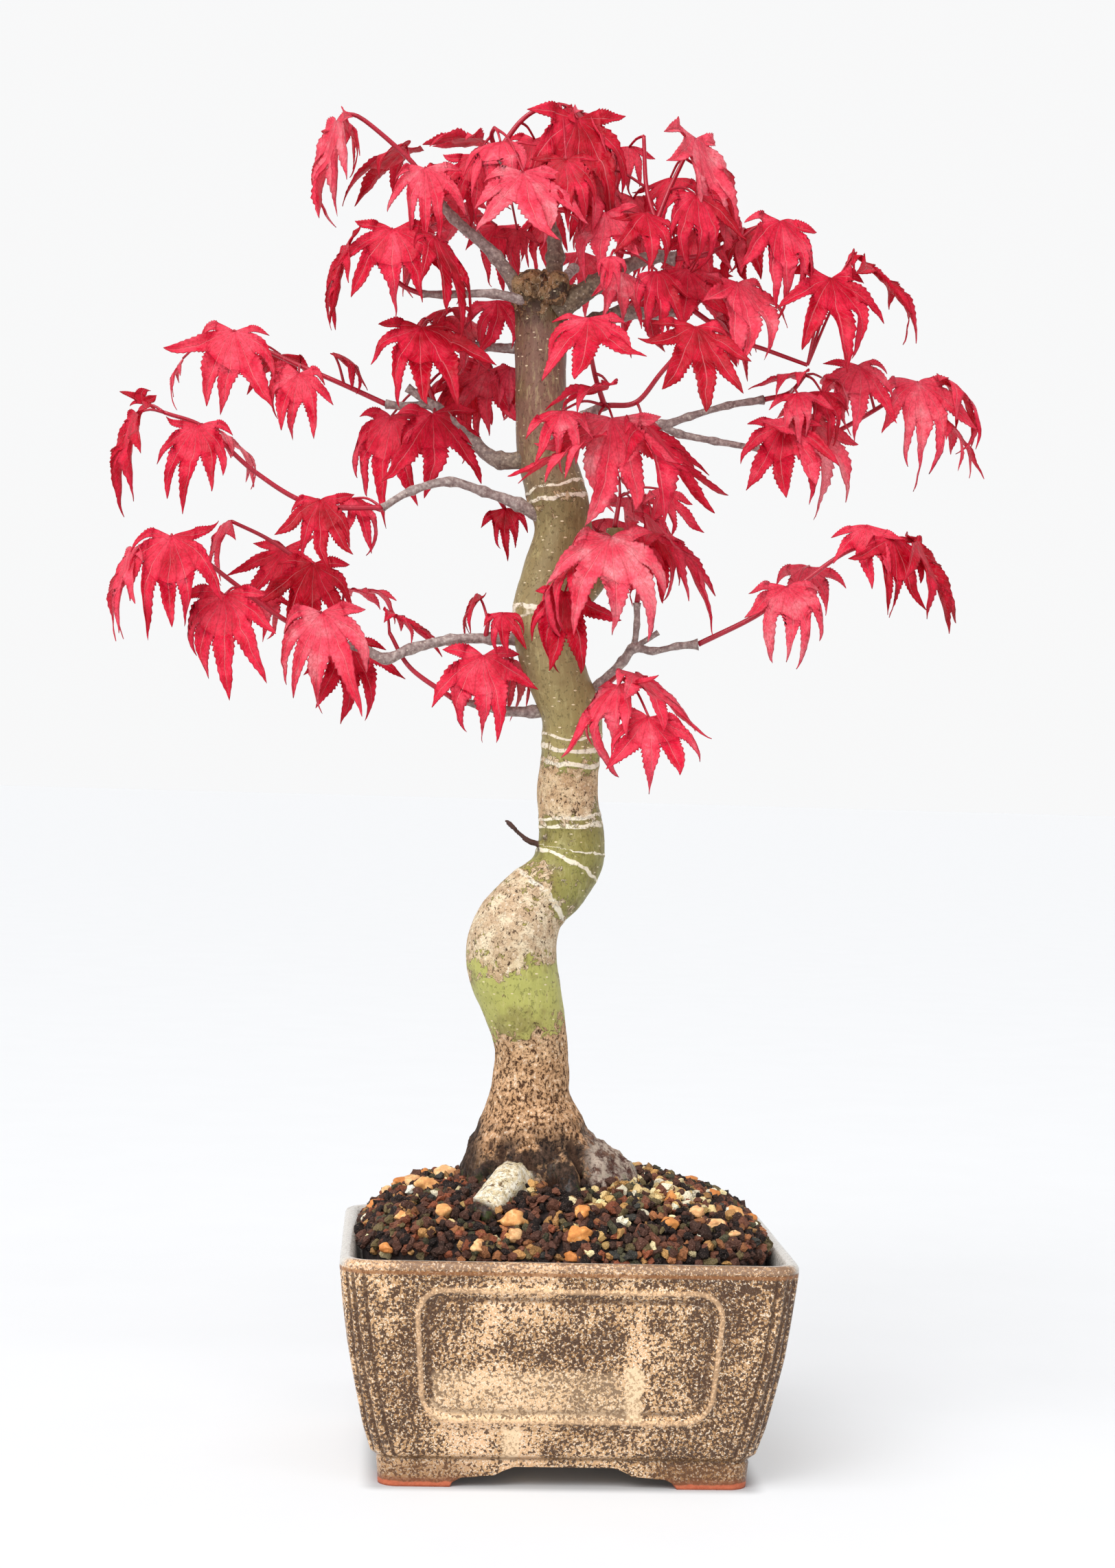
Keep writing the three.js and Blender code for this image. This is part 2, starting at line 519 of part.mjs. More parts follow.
// One palmate blade: thin, with pointed lobes, its two faces meeting at its edge. With grow, it is
// the room to keep round that blade, which is thick at its edge as well.
function bladeSolid(place, grow = 0) {
  const leaf = leafFrame(place);
  const lobes = leaf.length >= LARGE_LEAF ? LARGE_LOBES : SMALL_LOBES;
  const angles = lobes.map(([degrees]) => THREE.MathUtils.degToRad(degrees));
  const half = LEAF_THICKNESS / 2 + grow;
  const points = [];
  const add = (angle, reach, lift) => points.push(bladePoint(leaf, angle, reach, lift)) - 1;
  // Each place on the edge is a pair of points, upper and lower, or the same point twice.
  const addEdge = (angle, reach) => {
    const upper = add(angle, reach + EDGE_CLEARANCE * grow, EDGE_CLEARANCE * grow);
    return [upper, grow > 0 ? add(angle, reach + EDGE_CLEARANCE * grow, -EDGE_CLEARANCE * grow) : upper];
  };
  const palms = [add(0, 0, half), add(0, 0, -half)];
  const base = addEdge(Math.PI, BASE_REACH * leaf.length);
  const spread = angles[1] - angles[0];
  const notches = [angles[0] - spread / 2, ...angles.map((angle, i) => (
    i + 1 < angles.length ? (angle + angles[i + 1]) / 2 : angle + spread / 2
  ))].map((angle, i) => {
    const shorter = Math.min(lobes[Math.max(i - 1, 0)][1], lobes[Math.min(i, lobes.length - 1)][1]);
    return addEdge(angle, NOTCH_REACH * shorter * leaf.length);
  });
  const outline = [base, notches[0]];
  const index = [];
  angles.forEach((angle, i) => {
    const length = lobes[i][1] * leaf.length;
    const ribs = [add(angle, MIDRIB_REACH * length, half), add(angle, MIDRIB_REACH * length, -half)];
    const tip = addEdge(angle, length);
    const [from, to] = [notches[i], notches[i + 1]];
    outline.push(tip, to);
    index.push(from[0], tip[0], ribs[0], tip[0], to[0], ribs[0]);
    index.push(palms[0], from[0], ribs[0], to[0], palms[0], ribs[0]);
    index.push(from[1], ribs[1], tip[1], ribs[1], to[1], tip[1]);
    index.push(from[1], palms[1], ribs[1], ribs[1], palms[1], to[1]);
  });
  const last = notches.at(-1);
  index.push(last[0], base[0], palms[0], base[0], notches[0][0], palms[0]);
  index.push(base[1], last[1], palms[1], notches[0][1], base[1], palms[1]);
  if (grow > 0) {
    outline.forEach((from, i) => {
      const to = outline[(i + 1) % outline.length];
      index.push(to[0], from[0], from[1], to[0], from[1], to[1]);
    });
  }
  return solidOf(geometryOf(points.flatMap((point) => point.toArray()), index));
}

function nearestPlace(stem, [x, y, z]) {
  const away = ([a, b, c]) => Math.hypot(a - x, b - y, c - z);
  return stem.reduce((best, place) => (away(place) < away(best) ? place : best));
}

function shootSolid({ stem, leaves }, grow = 0) {
  const taper = (STEM_RADII[1] - STEM_RADII[0]) / (stem.length - 1);
  const parts = [limb(stem.map((place, i) => [...place, STEM_RADII[0] + taper * i]), STEM_SIDES, grow)];
  for (const leaf of leaves) {
    const foot = nearestPlace(stem, leaf);
    parts.push(limb([[...foot, STALK_RADIUS], [...leaf.slice(0, 3), STALK_RADIUS]], STALK_SIDES, grow));
    parts.push(bladeSolid(leaf, grow));
  }
  return wasm.Manifold.union(parts);
}

// ---- Assembly -----------------------------------------------------------------------------------

const glaze = finish(0xb99a72, 0.35);
const plastic = finish(0x20241f, 0.6);
const grit = finish(0x3f2c29, 0.95);
const stone = finish(0xe0a060, 0.8);
const bark = finish(0x8a8560, 0.8);
const twigBark = finish(0x7a6a62, 0.75);
const leafRed = finish(0xc8304a, 0.55);

const group = new THREE.Group();
addPiece(group, "pot", potSolid(), glaze);
const nets = DRAIN_PLACES.map(([name, x]) => [name, drainMesh(x)]);
nets.forEach(([name, solid]) => addPiece(group, name, solid, plastic));

const trunk = trunkSolid();
const trunkClear = trunkSolid(CLEARANCE);
const pebbleClear = wasm.Manifold.union(PEBBLES.map((place) => pebble(place, CLEARANCE)));
const soil = largestBody(soilSolid().subtract(leaning(trunkClear)).subtract(pebbleClear));
addPiece(group, "soil", soil, grit, LIST_GROUND);
PEBBLES.forEach((place, i) => addPiece(group, `pebble_${i + 1}`, pebble(place), stone, LIST_GROUND));
addPiece(group, "trunk", leaning(trunk), bark, LIST_GROUND);

// Each later piece is cut back from every earlier one, so that neighbours keep their gap.
let taken = trunkClear;
for (const [name, list] of Object.entries(BRANCHES)) {
  const branch = largestBody(limbs(list, BRANCH_SIDES).subtract(taken));
  addPiece(group, name, leaning(branch), twigBark, LIST_GROUND);
  taken = taken.add(limbs(list, BRANCH_SIDES, CLEARANCE));
}
for (const [name, shoot] of Object.entries(SHOOTS)) {
  addPiece(group, name, leaning(largestBody(shootSolid(shoot).subtract(taken))), leafRed, LIST_GROUND);
  taken = taken.add(shootSolid(shoot, CLEARANCE));
}

export default group;
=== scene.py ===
"""A small red maple grown as a bonsai in a glazed pot: the looks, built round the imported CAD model."""
import math
import random

import bmesh
import bpy
import numpy as np
from mathutils import Matrix, Quaternion, Vector, noise


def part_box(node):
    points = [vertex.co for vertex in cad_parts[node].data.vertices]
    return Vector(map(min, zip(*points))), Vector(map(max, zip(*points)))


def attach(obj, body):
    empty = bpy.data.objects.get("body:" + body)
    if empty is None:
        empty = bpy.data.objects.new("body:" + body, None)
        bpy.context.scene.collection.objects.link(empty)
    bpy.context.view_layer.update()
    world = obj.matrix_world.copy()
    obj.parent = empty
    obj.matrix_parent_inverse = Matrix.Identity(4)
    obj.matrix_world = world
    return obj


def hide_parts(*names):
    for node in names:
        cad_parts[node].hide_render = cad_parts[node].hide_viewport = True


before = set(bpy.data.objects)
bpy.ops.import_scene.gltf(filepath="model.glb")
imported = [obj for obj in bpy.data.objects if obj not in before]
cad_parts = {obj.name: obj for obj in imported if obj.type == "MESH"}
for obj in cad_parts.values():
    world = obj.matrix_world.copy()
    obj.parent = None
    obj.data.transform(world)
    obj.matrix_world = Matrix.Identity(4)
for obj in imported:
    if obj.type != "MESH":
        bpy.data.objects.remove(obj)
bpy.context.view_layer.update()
noise.seed_set(4)  # without this, vector noise would differ from run to run

MM = 0.001
DOWN = Vector((0, 0, -1))

# ---- Camera and stage ---------------------------------------------------------------------------

IMAGE_HEIGHT = 2283
FOCAL_PIXELS = 3904  # focal length of the view, in pixels of an image this high
SENSOR = 36.0
CAMERA_DISTANCE = 1015 * MM
CAMERA_HEIGHT = 253.7 * MM
CAMERA_SIDE = math.radians(-3.5)  # the camera stands a little to the left of the pot's front
CAMERA_ROLL = math.radians(1.6)
AIM_X = -1.2 * MM
FLOOR_RADIUS = 40.0
HORIZON_LIGHT = 0.945
OVERHEAD_LIGHT = 0.42
FLOOR_GLOW = 0.41
UNLIT_HALF = (66, 48)  # half width and half depth, in mm, of the floor under the pot that doesn't glow
UNLIT_FADE = 9
SUN_STRENGTH = 2.3
SUN_SOFTNESS = 0.8
SUN_FROM = (-0.55, -0.75, 1.1)
# Softboxes: name, place, size in metres, power. They aim at the middle of the tree.
SOFTBOXES = (
    ("key_left", (-1.6, -2.2, 2.0), (0.9, 1.2), 10),
    ("strip_above", (0.1, -0.9, 1.5), (1.4, 0.12), 5),
)
SOFTBOX_AIM = (0, 0, 0.25)
WORLD_COLOUR = (0.995, 0.997, 1, 1)
DIMMING = (0.28, 0.7)  # how far up the sky its light starts and stops falling, as the height of its direction

# ---- Pot ----------------------------------------------------------------------------------------

POT_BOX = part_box("pot")
RIM_TOP = POT_BOX[1][2] / MM
POT_X = (POT_BOX[0][0] + POT_BOX[1][0]) / 2 / MM
POT_DEPTH_STEP = 18  # the pot's half depth is its half width less this
FLOOR_UNDERSIDE = 7.5
FLOOR_TOP = 14
# Outside, inside: [height, half width, corner radius] in mm.
POT_OUTSIDE = [
    (0, 67, 7), (9, 67.8, 7), (10.2, 67.3, 7), (11, 68.4, 7), (12.5, 70, 8), (22, 73, 9), (35.5, 76, 10),
    (49, 78.6, 10), (62.5, 80.6, 11), (76, 82.2, 11), (79.5, 82.6, 11), (81.9, 82.5, 11), (83, 81.9, 10.6),
    (RIM_TOP, 80.8, 10),
]
POT_INSIDE = [
    (RIM_TOP, 79.4, 9), (83, 78, 8.6), (81.5, 77.1, 8), (77.5, 76.4, 8), (62.5, 74.5, 8), (31, 69, 7),
    (FLOOR_TOP, 63, 6),
]
ARCH = [(0, 7.5), (18, 7.5), (22, 6), (25, 4.4), (37, 3.4), (40.5, 1.5), (41, 0)]  # reach, height
SIDE_ARCH_SCALE = 0.66
UNDERSIDE_INSET = 7
APRON_TOP = 9
DRAIN_X = 32
DRAIN_RADIUS = 6.5
PANEL_MIDDLE = 49.5
PANEL_HALF_HEIGHT = 24
PANEL_HALF_WIDTHS = (55, 37)  # front and back, sides
PANEL_CORNER = 10
POST_GROOVES = (4.4, 8.6)  # from the silhouette to the two grooves of a corner post

# ---- Soil ---------------------------------------------------------------------------------------

# Heights in the soil, pebble and growth lists are counted from this far above the ground.
LIST_GROUND = 4.7
# The tree's places are shifted left by this much for each mm that they stand above LEAN_FROM.
TREE_LEAN = 0.02
LEAN_FROM = 140
# The mound, [share of the way from its middle to the rim, height in mm].
MOUND = [(0, 102), (0.35, 100.5), (0.56, 98), (0.75, 94), (0.9, 88), (0.97, 82.5), (1, 79)]
MOUND_HALF = (75.8, 57.8)
PEBBLES = [
    (-21, -48, 91.5, 6.2, 4.2, 3.6, 5), (3, -54, 87.5, 5, 4, 3.8, 30),
    (-60, 22, 93, 5, 4, 3.2, 15), (53, -43, 90.5, 4.2, 3.2, 2.6, -20),
]


# ---- How the tree grew --------------------------------------------------------------------------
# Limbs are lists of places [x, y, z, radius] in mm. They follow the CAD model's, but the trunk's foot and the
# cut root differ from it by up to about 3 mm.

TRUNK = [
    [-12, 2, 86, 21], [-12, 2, 98, 26], [-12.5, 1, 111, 24], [-13, 0, 121, 20], [-13.5, 0, 131, 15.8],
    [-13, -1, 142, 14], [-14, -2, 154, 14], [-17, -4, 167, 15.5], [-21, -5, 181, 17],
    [-20, -5, 192, 16.5], [-14, -3, 203, 14], [-4, 0, 212, 12.6], [1, 2, 222, 12.8],
    [1.5, 3, 232, 12], [0, 2, 246, 11.5], [1, 0, 262, 11.2], [1, -2, 275, 11.5],
    [-4, -3, 288, 11.5], [-9, -3, 301, 11.5], [-11.5, -2, 312, 10.5], [-7, 0, 330, 10.5],
    [-2.5, 2, 345, 11], [-5, 2, 358, 11.5], [-9, 3, 373, 11], [-11, 3, 390, 9.8],
    [-11.5, 4, 410, 9.8], [-11.3, 4, 437, 10.8],
]
ROOTS = [
    [[-20, 0, 116, 10], [-29, 1, 104, 10], [-36, 3, 90, 8]],
    [[-6, -2, 116, 12], [7, -6, 105, 10], [19, -10, 96, 8], [31, -14, 90, 6], [38, -16, 85, 4]],
    [[-14, -2, 112, 13], [-15, -16, 100, 10], [-16, -28, 90, 7]],
    [[-10, 4, 112, 13], [-8, 18, 100, 9], [-4, 34, 88, 5]],
]
CUT_ROOT = [
    [-19, -20, 103, 5], [-22, -27, 103, 6.2], [-26, -33, 99, 6.4], [-30, -38, 95, 6.3], [-35, -44, 90, 6],
]
DEAD_STUB = [[-1, 4, 314, 5], [13, 9, 330, 4.2], [18, 12, 341, 4], [18, 12, 348, 3.8]]
DEAD_TWIG = [[0, -1, 226, 1.8], [-14, -4, 227, 1.3], [-24, -6, 235, 0.8]]

BRANCHES = {
    "branch_apex_left": [[[-15, 2, 428, 3.6], [-29, 2, 448, 2.4], [-45, 3, 462, 1.9], [-55, 2, 474, 1.5]]],
    "branch_apex_centre": [
        [[-9, 4, 430, 4], [-6, 8, 450, 3.2], [-9, 10, 463, 2.8], [-21, 8, 474, 2.2], [-29, 4, 488, 1.5]],
    ],
    "branch_apex_right": [
        [[-6, -3, 427, 4.5], [8, -8, 437, 3.4], [18, -10, 443, 2.8], [30, -10, 448, 2.4],
            [38, -12, 447, 2.2]],
        [[30, -10, 448, 2], [31, -8, 461, 1.5]],
    ],
    "branch_right_high": [
        [[-4, 6, 419, 4.5], [10, 6, 425, 3.6], [20, 5, 429, 2.8], [35, 4, 429, 2], [46, 3, 431, 1.5]],
    ],
    "branch_left_upper": [
        [[-15, -4, 430, 2.4], [-30, -8, 432, 1.6], [-48, -8, 431, 1.4], [-57, -8, 431, 1.2]],
    ],
    "branch_left_dark": [[[-14, 6, 414, 2.2], [-33, 10, 415, 1.6], [-44, 12, 417, 1.2]]],
    "branch_left_high": [
        [[-12, 2, 372, 3.8], [-27, 2, 371, 3], [-36, 4, 377, 2.4], [-51, 8, 391, 1.9], [-61, 10, 391, 1.6],
            [-70, 12, 392, 1.5]],
        [[-51, 8, 391, 1.8], [-62, 8, 398, 1.5]],
    ],
    "branch_left_mid": [
        [[-8, 0, 348, 3.2], [-20, -3, 354, 2.3], [-33, -6, 358, 1.8], [-46, -8, 361, 1.7],
            [-60, -10, 357, 1.5], [-71, -12, 350, 1.3]],
    ],
    "branch_left_low": [
        [[-12, -2, 303, 3.2], [-30, -4, 303, 2.1], [-45, -6, 302, 1.9], [-60, -8, 298, 1.9],
            [-69, -9, 294, 2], [-77, -10, 297, 1.6], [-86, -11, 299, 1.3]],
    ],
    "branch_left_lowest": [
        [[-5, 0, 277, 3], [-14, -2, 276, 2.2], [-25, -3, 276, 1.8], [-35, -4, 278, 1.3], [-44, -5, 280, 1.5]],
    ],
    "branch_right_mid": [
        [[-7, 4, 381, 3.5], [9, 4, 384, 2.6], [22, 4, 387, 2], [35, 6, 387, 1.8], [46, 8, 391, 1.4],
            [61, 10, 396, 1.3], [75, 12, 399, 1.5]],
        [[35, 6, 387, 1.6], [42, 7, 384, 1.4], [56, 9, 382, 1.3], [74, 12, 380, 1.2]],
    ],
    "branch_right_low": [
        [[2, -2, 278, 3], [12, -4, 287, 2.2], [20, -6, 296, 1.7], [24, -7, 301, 1.7], [31, -8, 300, 1.3],
            [40, -9, 302, 1.2], [48, -10, 303, 1.8]],
        [[24, -7, 301, 1.3], [25, -7, 310, 1.1], [25, -7, 318, 1.3]],
        [[24, -7, 301, 1.2], [33, -9, 307, 0.9]],
    ],
    "branch_front": [[[-9, 0, 376, 3], [0, -18, 384, 2], [10, -34, 388, 1.6]]],
    "branch_back_high": [[[-11, 6, 425, 3.6], [-6, 28, 440, 2.6], [4, 50, 454, 1.8]]],
    "branch_back_mid": [[[-9, 6, 373, 3.4], [-14, 28, 387, 2.4], [-23, 46, 402, 1.6]]],
    "branch_back_low": [[[-9, 4, 318, 3], [-2, 26, 330, 2.2], [8, 42, 342, 1.6]]],
}

# Leafy shoots. stem: places [x, y, z] of the red stem. leaves: the middle of each leaf [x, y, z], the
# compass angle it points to, how far it hangs below level, both in degrees, and its length.
SHOOTS = {
    "shoot_crown_left": {
        "stem": [[-55, 2, 474], [-62, 0, 483], [-79, -4, 496], [-86, -5, 498]],
        "leaves": [[-89, -8, 494, 200, 78, 40], [-87, -2, 498, 5, 50, 23], [-56, -14, 477, -88, 68, 33],
            [-63, 12, 490, 170, 25, 34], [-45, 14, 484, -60, 40, 28]],
    },
    "shoot_crown_centre": {
        "stem": [[-29, 4, 488], [-31, 0, 493], [-30, -5, 495]],
        "leaves": [[-34, 8, 493, 172, -5, 28], [-28, -12, 488, -110, 20, 30], [-20, -26, 474, -85, 55, 39],
            [-36, -4, 484, -90, 66, 30], [-20, 20, 462, -85, 70, 16]],
    },
    "shoot_crown_top": {
        "stem": [[-28, 6, 489], [-20, 5, 500], [-13, 4, 505], [-5, 3, 507]],
        "leaves": [[-3, 0, 505, 200, 80, 25], [2, 8, 505, 0, 42, 40], [1, -8, 499, -75, 72, 47],
            [-14, 14, 496, -100, 60, 30], [-4, -22, 480, -100, 60, 32]],
    },
    "shoot_crown_right": {
        "stem": [[31, -8, 461], [36, -6, 474], [42, -4, 487]],
        "leaves": [[46, -6, 494, -40, 66, 44], [38, 8, 482, -120, 60, 28], [58, 6, 473, -30, 68, 34],
            [45, -18, 470, -80, 66, 32], [48, 10, 462, -110, 60, 30]],
    },
    "shoot_crown_upright": {
        "stem": [[31, -8, 461], [28, 0, 476], [27, 2, 496]],
        "leaves": [[22, 8, 493, -100, 75, 20], [8, -4, 481, -40, 55, 34], [12, -14, 463, -110, 60, 30],
            [24, 10, 474, -60, 60, 32], [26, -20, 462, -75, 55, 28]],
    },
    "shoot_crown_front": {
        "stem": [[18, -12, 443], [15, -22, 447]],
        "leaves": [[12, -32, 443, -90, 60, 16], [17, -20, 440, -80, 72, 26], [30, -24, 440, -60, 70, 28]],
    },
    "shoot_upper_left": {
        "stem": [[-57, -8, 431], [-63, -9, 433], [-70, -10, 438], [-78, -11, 446]],
        "leaves": [[-85, -14, 447, 195, 72, 36], [-68, -18, 453, -95, 58, 36], [-53, -20, 450, -30, 48, 39]],
    },
    "shoot_upper_left_face": {
        "stem": [[-44, 12, 417], [-52, 4, 421]],
        "leaves": [[-57, -16, 417, -82, 52, 39], [-46, 8, 429, -140, 15, 30], [-28, 6, 432, -85, 66, 24],
            [-42, 14, 427, -50, 45, 28]],
    },
    "shoot_left_high": {
        "stem": [[-70, 12, 392], [-86, 14, 399], [-103, 16, 406], [-121, 18, 413], [-140, 20, 413]],
        "leaves": [[-90, 8, 410, -10, 12, 21], [-103, 6, 402, -100, 68, 30], [-128, 12, 418, -95, 62, 37],
            [-148, 22, 408, 190, 55, 20], [-111, 28, 412, 100, 40, 26]],
    },
    "shoot_left_high_inner": {
        "stem": [[-51, 8, 391], [-54, 12, 400]],
        "leaves": [[-68, 16, 388, -115, 62, 41], [-52, 4, 388, -80, 66, 37], [-45, 18, 407, 180, 40, 26]],
    },
    "shoot_left_mid": {
        "stem": [[-71, -12, 350], [-97, -16, 350], [-118, -19, 361], [-136, -22, 376], [-151, -24, 381]],
        "leaves": [[-94, -24, 351, -90, 68, 29], [-82, -4, 354, -50, 42, 25], [-138, -30, 376, -105, 66, 32],
            [-131, -12, 376, 0, 30, 28], [-161, -26, 380, 200, 72, 38], [-159, -22, 384, 120, -70, 10]],
    },
    "shoot_left_mid_lower": {
        "stem": [[-77, -9, 297], [-86, 0, 312], [-98, 6, 327], [-113, 8, 338], [-128, 8, 345]],
        "leaves": [[-130, 6, 344, 200, 58, 27], [-108, 14, 336, -110, 66, 31], [-97, -4, 329, -80, 60, 35],
            [-85, 10, 321, 10, -5, 28]],
    },
    "shoot_left_low": {
        "stem": [[-86, -11, 299], [-105, -15, 306], [-123, -19, 318], [-142, -23, 332], [-148, -24, 335]],
        "leaves": [[-128, -27, 315, -100, 64, 39], [-147, -33, 335, -92, 64, 40],
            [-162, -26, 330, 200, 64, 36], [-117, -8, 318, -60, 50, 24], [-93, -22, 310, -95, 72, 41],
            [-84, 0, 300, -80, 62, 33]],
    },
    "shoot_left_lowest_tip": {
        "stem": [[-44, -5, 280], [-60, -5, 291], [-68, -4, 304]],
        "leaves": [[-69, 2, 313, -10, 28, 28]],
    },
    "shoot_left_lowest": {
        "stem": [[-25, -3, 277], [-23, -4, 288], [-22, -4, 295]],
        "leaves": [[-33, -12, 296, -95, 68, 35], [-21, 8, 296, -40, 66, 26]],
    },
    "shoot_trunk_left": {
        "stem": [[-32, -5, 303], [-31, -8, 309]],
        "leaves": [[-35, 2, 320, 190, 62, 20], [-26, -16, 312, -80, 55, 18]],
    },
    "shoot_left_small": {
        "stem": [[-28, -4, 357], [-25, 8, 354]],
        "leaves": [[-24, 14, 354, -90, 66, 20]],
    },
    "shoot_left_back": {
        "stem": [[-14, 27, 386], [-22, 22, 399]],
        "leaves": [[-31, 22, 408, -110, 66, 30], [-23, 12, 407, -80, 76, 19], [-40, 26, 402, -90, 62, 30]],
    },
    "shoot_front_upper": {
        "stem": [[10, -34, 388], [6, -38, 399], [3, -42, 413]],
        "leaves": [[3, -50, 417, -100, 50, 35], [11, -44, 394, 185, 8, 27], [-6, -46, 384, -100, 42, 28],
            [5, -42, 375, 188, 24, 39], [12, -46, 382, -90, 80, 42]],
    },
    "shoot_right_inner_high": {
        "stem": [[11, -34, 388], [22, -32, 390], [31, -34, 401], [42, -38, 414]],
        "leaves": [[42, -46, 416, -85, 56, 35], [24, -38, 381, -32, 46, 45]],
    },
    "shoot_front_low": {
        "stem": [[0, -8, 332], [5, -22, 337], [8, -34, 340]],
        "leaves": [[12, -44, 339, -92, 60, 42], [1, -36, 331, 188, 28, 35], [-4, -34, 319, -105, 78, 30]],
    },
    "shoot_right_inner": {
        "stem": [[25, -7, 318], [27, -6, 332], [28, -5, 346]],
        "leaves": [[28, -12, 350, -22, 42, 47], [23, -4, 340, -95, 76, 25], [31, 4, 347, -60, 58, 31]],
    },
    "shoot_right_inner_back": {
        "stem": [[18, 12, 348], [20, 14, 360]],
        "leaves": [[20, 18, 368, -10, 25, 22], [36, 10, 363, -50, 60, 24], [25, 26, 361, 40, 45, 26]],
    },
    "shoot_low_right_front": {
        "stem": [[13, -6, 286], [17, -20, 290], [18, -32, 288]],
        "leaves": [[16, -38, 286, 215, 44, 36], [22, -34, 290, -30, 30, 36], [26, -48, 274, -90, 58, 31]],
    },
    "shoot_right_low": {
        "stem": [[48, -10, 303], [69, -12, 314], [84, -13, 325], [103, -14, 339], [119, -15, 344]],
        "leaves": [[80, -20, 325, -90, 48, 34], [110, -18, 349, -105, 62, 25], [119, -22, 344, -72, 68, 31],
            [130, -12, 344, -25, 58, 36], [92, 4, 335, 80, 40, 26]],
    },
    "shoot_right_mid": {
        "stem": [[74, 12, 380], [90, 18, 384], [103, 20, 388], [120, 22, 398], [133, 24, 407],
            [144, 25, 412]],
        "leaves": [[81, -4, 388, -95, 64, 35], [91, 6, 393, -50, 58, 39], [112, 14, 414, -95, 56, 31],
            [136, 18, 409, -82, 62, 41], [148, 26, 412, -8, 26, 37], [145, 30, 401, -15, 38, 36]],
    },
    "shoot_right_mid_upper": {
        "stem": [[75, 12, 399], [85, 12, 402], [91, 12, 409]],
        "leaves": [[86, -2, 400, -90, 50, 24], [90, 6, 409, 178, 8, 24], [98, 16, 409, 0, 25, 22],
            [96, 4, 402, -70, 60, 26]],
    },
    "shoot_right_high": {
        "stem": [[46, 3, 431], [62, 4, 421], [75, 5, 417], [91, 6, 412]],
        "leaves": [[62, -8, 440, -60, 56, 37], [57, 14, 430, 20, 40, 26], [98, -4, 444, -72, 62, 39],
            [108, 4, 455, 185, 70, 17], [113, 6, 452, -25, 40, 41]],
    },
    "shoot_right_top": {
        "stem": [[38, -12, 447], [50, -8, 450], [64, -2, 458]],
        "leaves": [[78, -6, 464, -65, 58, 39], [67, 10, 464, -110, 60, 30], [44, 0, 446, -85, 66, 28]],
    },
    "shoot_back_crown": {
        "stem": [[4, 50, 454], [10, 54, 470], [12, 52, 482]],
        "leaves": [[12, 50, 491, 80, 30, 30], [-4, 54, 478, 140, 45, 30], [27, 52, 476, 40, 40, 30],
            [8, 58, 462, 90, 62, 26]],
    },
    "shoot_back_crown_left": {
        "stem": [[-30, 4, 449], [-35, 20, 460], [-39, 34, 469]],
        "leaves": [[-41, 40, 476, 120, 35, 30], [-53, 32, 465, 160, 40, 30], [-27, 46, 469, 80, 55, 28]],
    },
    "shoot_back_right": {
        "stem": [[20, 6, 429], [30, 22, 439], [43, 36, 447]],
        "leaves": [[48, 40, 455, 50, 35, 30], [35, 48, 448, 95, 50, 28], [60, 34, 443, 10, 40, 30]],
    },
    "shoot_back_mid": {
        "stem": [[-23, 46, 402], [-31, 54, 412]],
        "leaves": [[-35, 54, 417, 130, 40, 28], [-16, 54, 413, 80, 50, 28]],
    },
    "shoot_back_low": {
        "stem": [[8, 42, 342], [14, 50, 350]],
        "leaves": [[17, 50, 355, 70, 40, 28], [2, 52, 357, 120, 50, 26], [21, 46, 345, 20, 60, 26]],
    },
}


BRANCH_SIDES = 12
STEM_RADII = (1.05, 0.75)
STALK_RADIUS = 0.5
LARGE_LEAF = 30
LARGE_LOBES = [(-100, 0.42), (-65, 0.74), (-32, 0.94), (0, 1), (32, 0.94), (65, 0.74), (100, 0.42)]
SMALL_LOBES = [(-74, 0.62), (-37, 0.9), (0, 1), (37, 0.9), (74, 0.62)]
LEAF_DROOP = 0.85
LEAF_THICKNESS = 0.3
LEAF_GLOW = 0.3  # share of the light that passes through a leaf
LEAF_FULLNESS = 1.05  # blades reach this much further than their plain CAD solids
NOTCH_REACH = 0.46
CRUMPLE = 0.8
FUSED_ROWS = 5
FREE_ROWS = 18
PALM_ROW = 0.08  # the blade's first row stands this share of a row away from its very middle
TOOTH_DEPTH = 0.1
TOOTH_RAKE = 0.018
ACROSS = (-1, -0.5, 0, 0.5, 1)

# ---- Node material helpers ----------------------------------------------------------------------

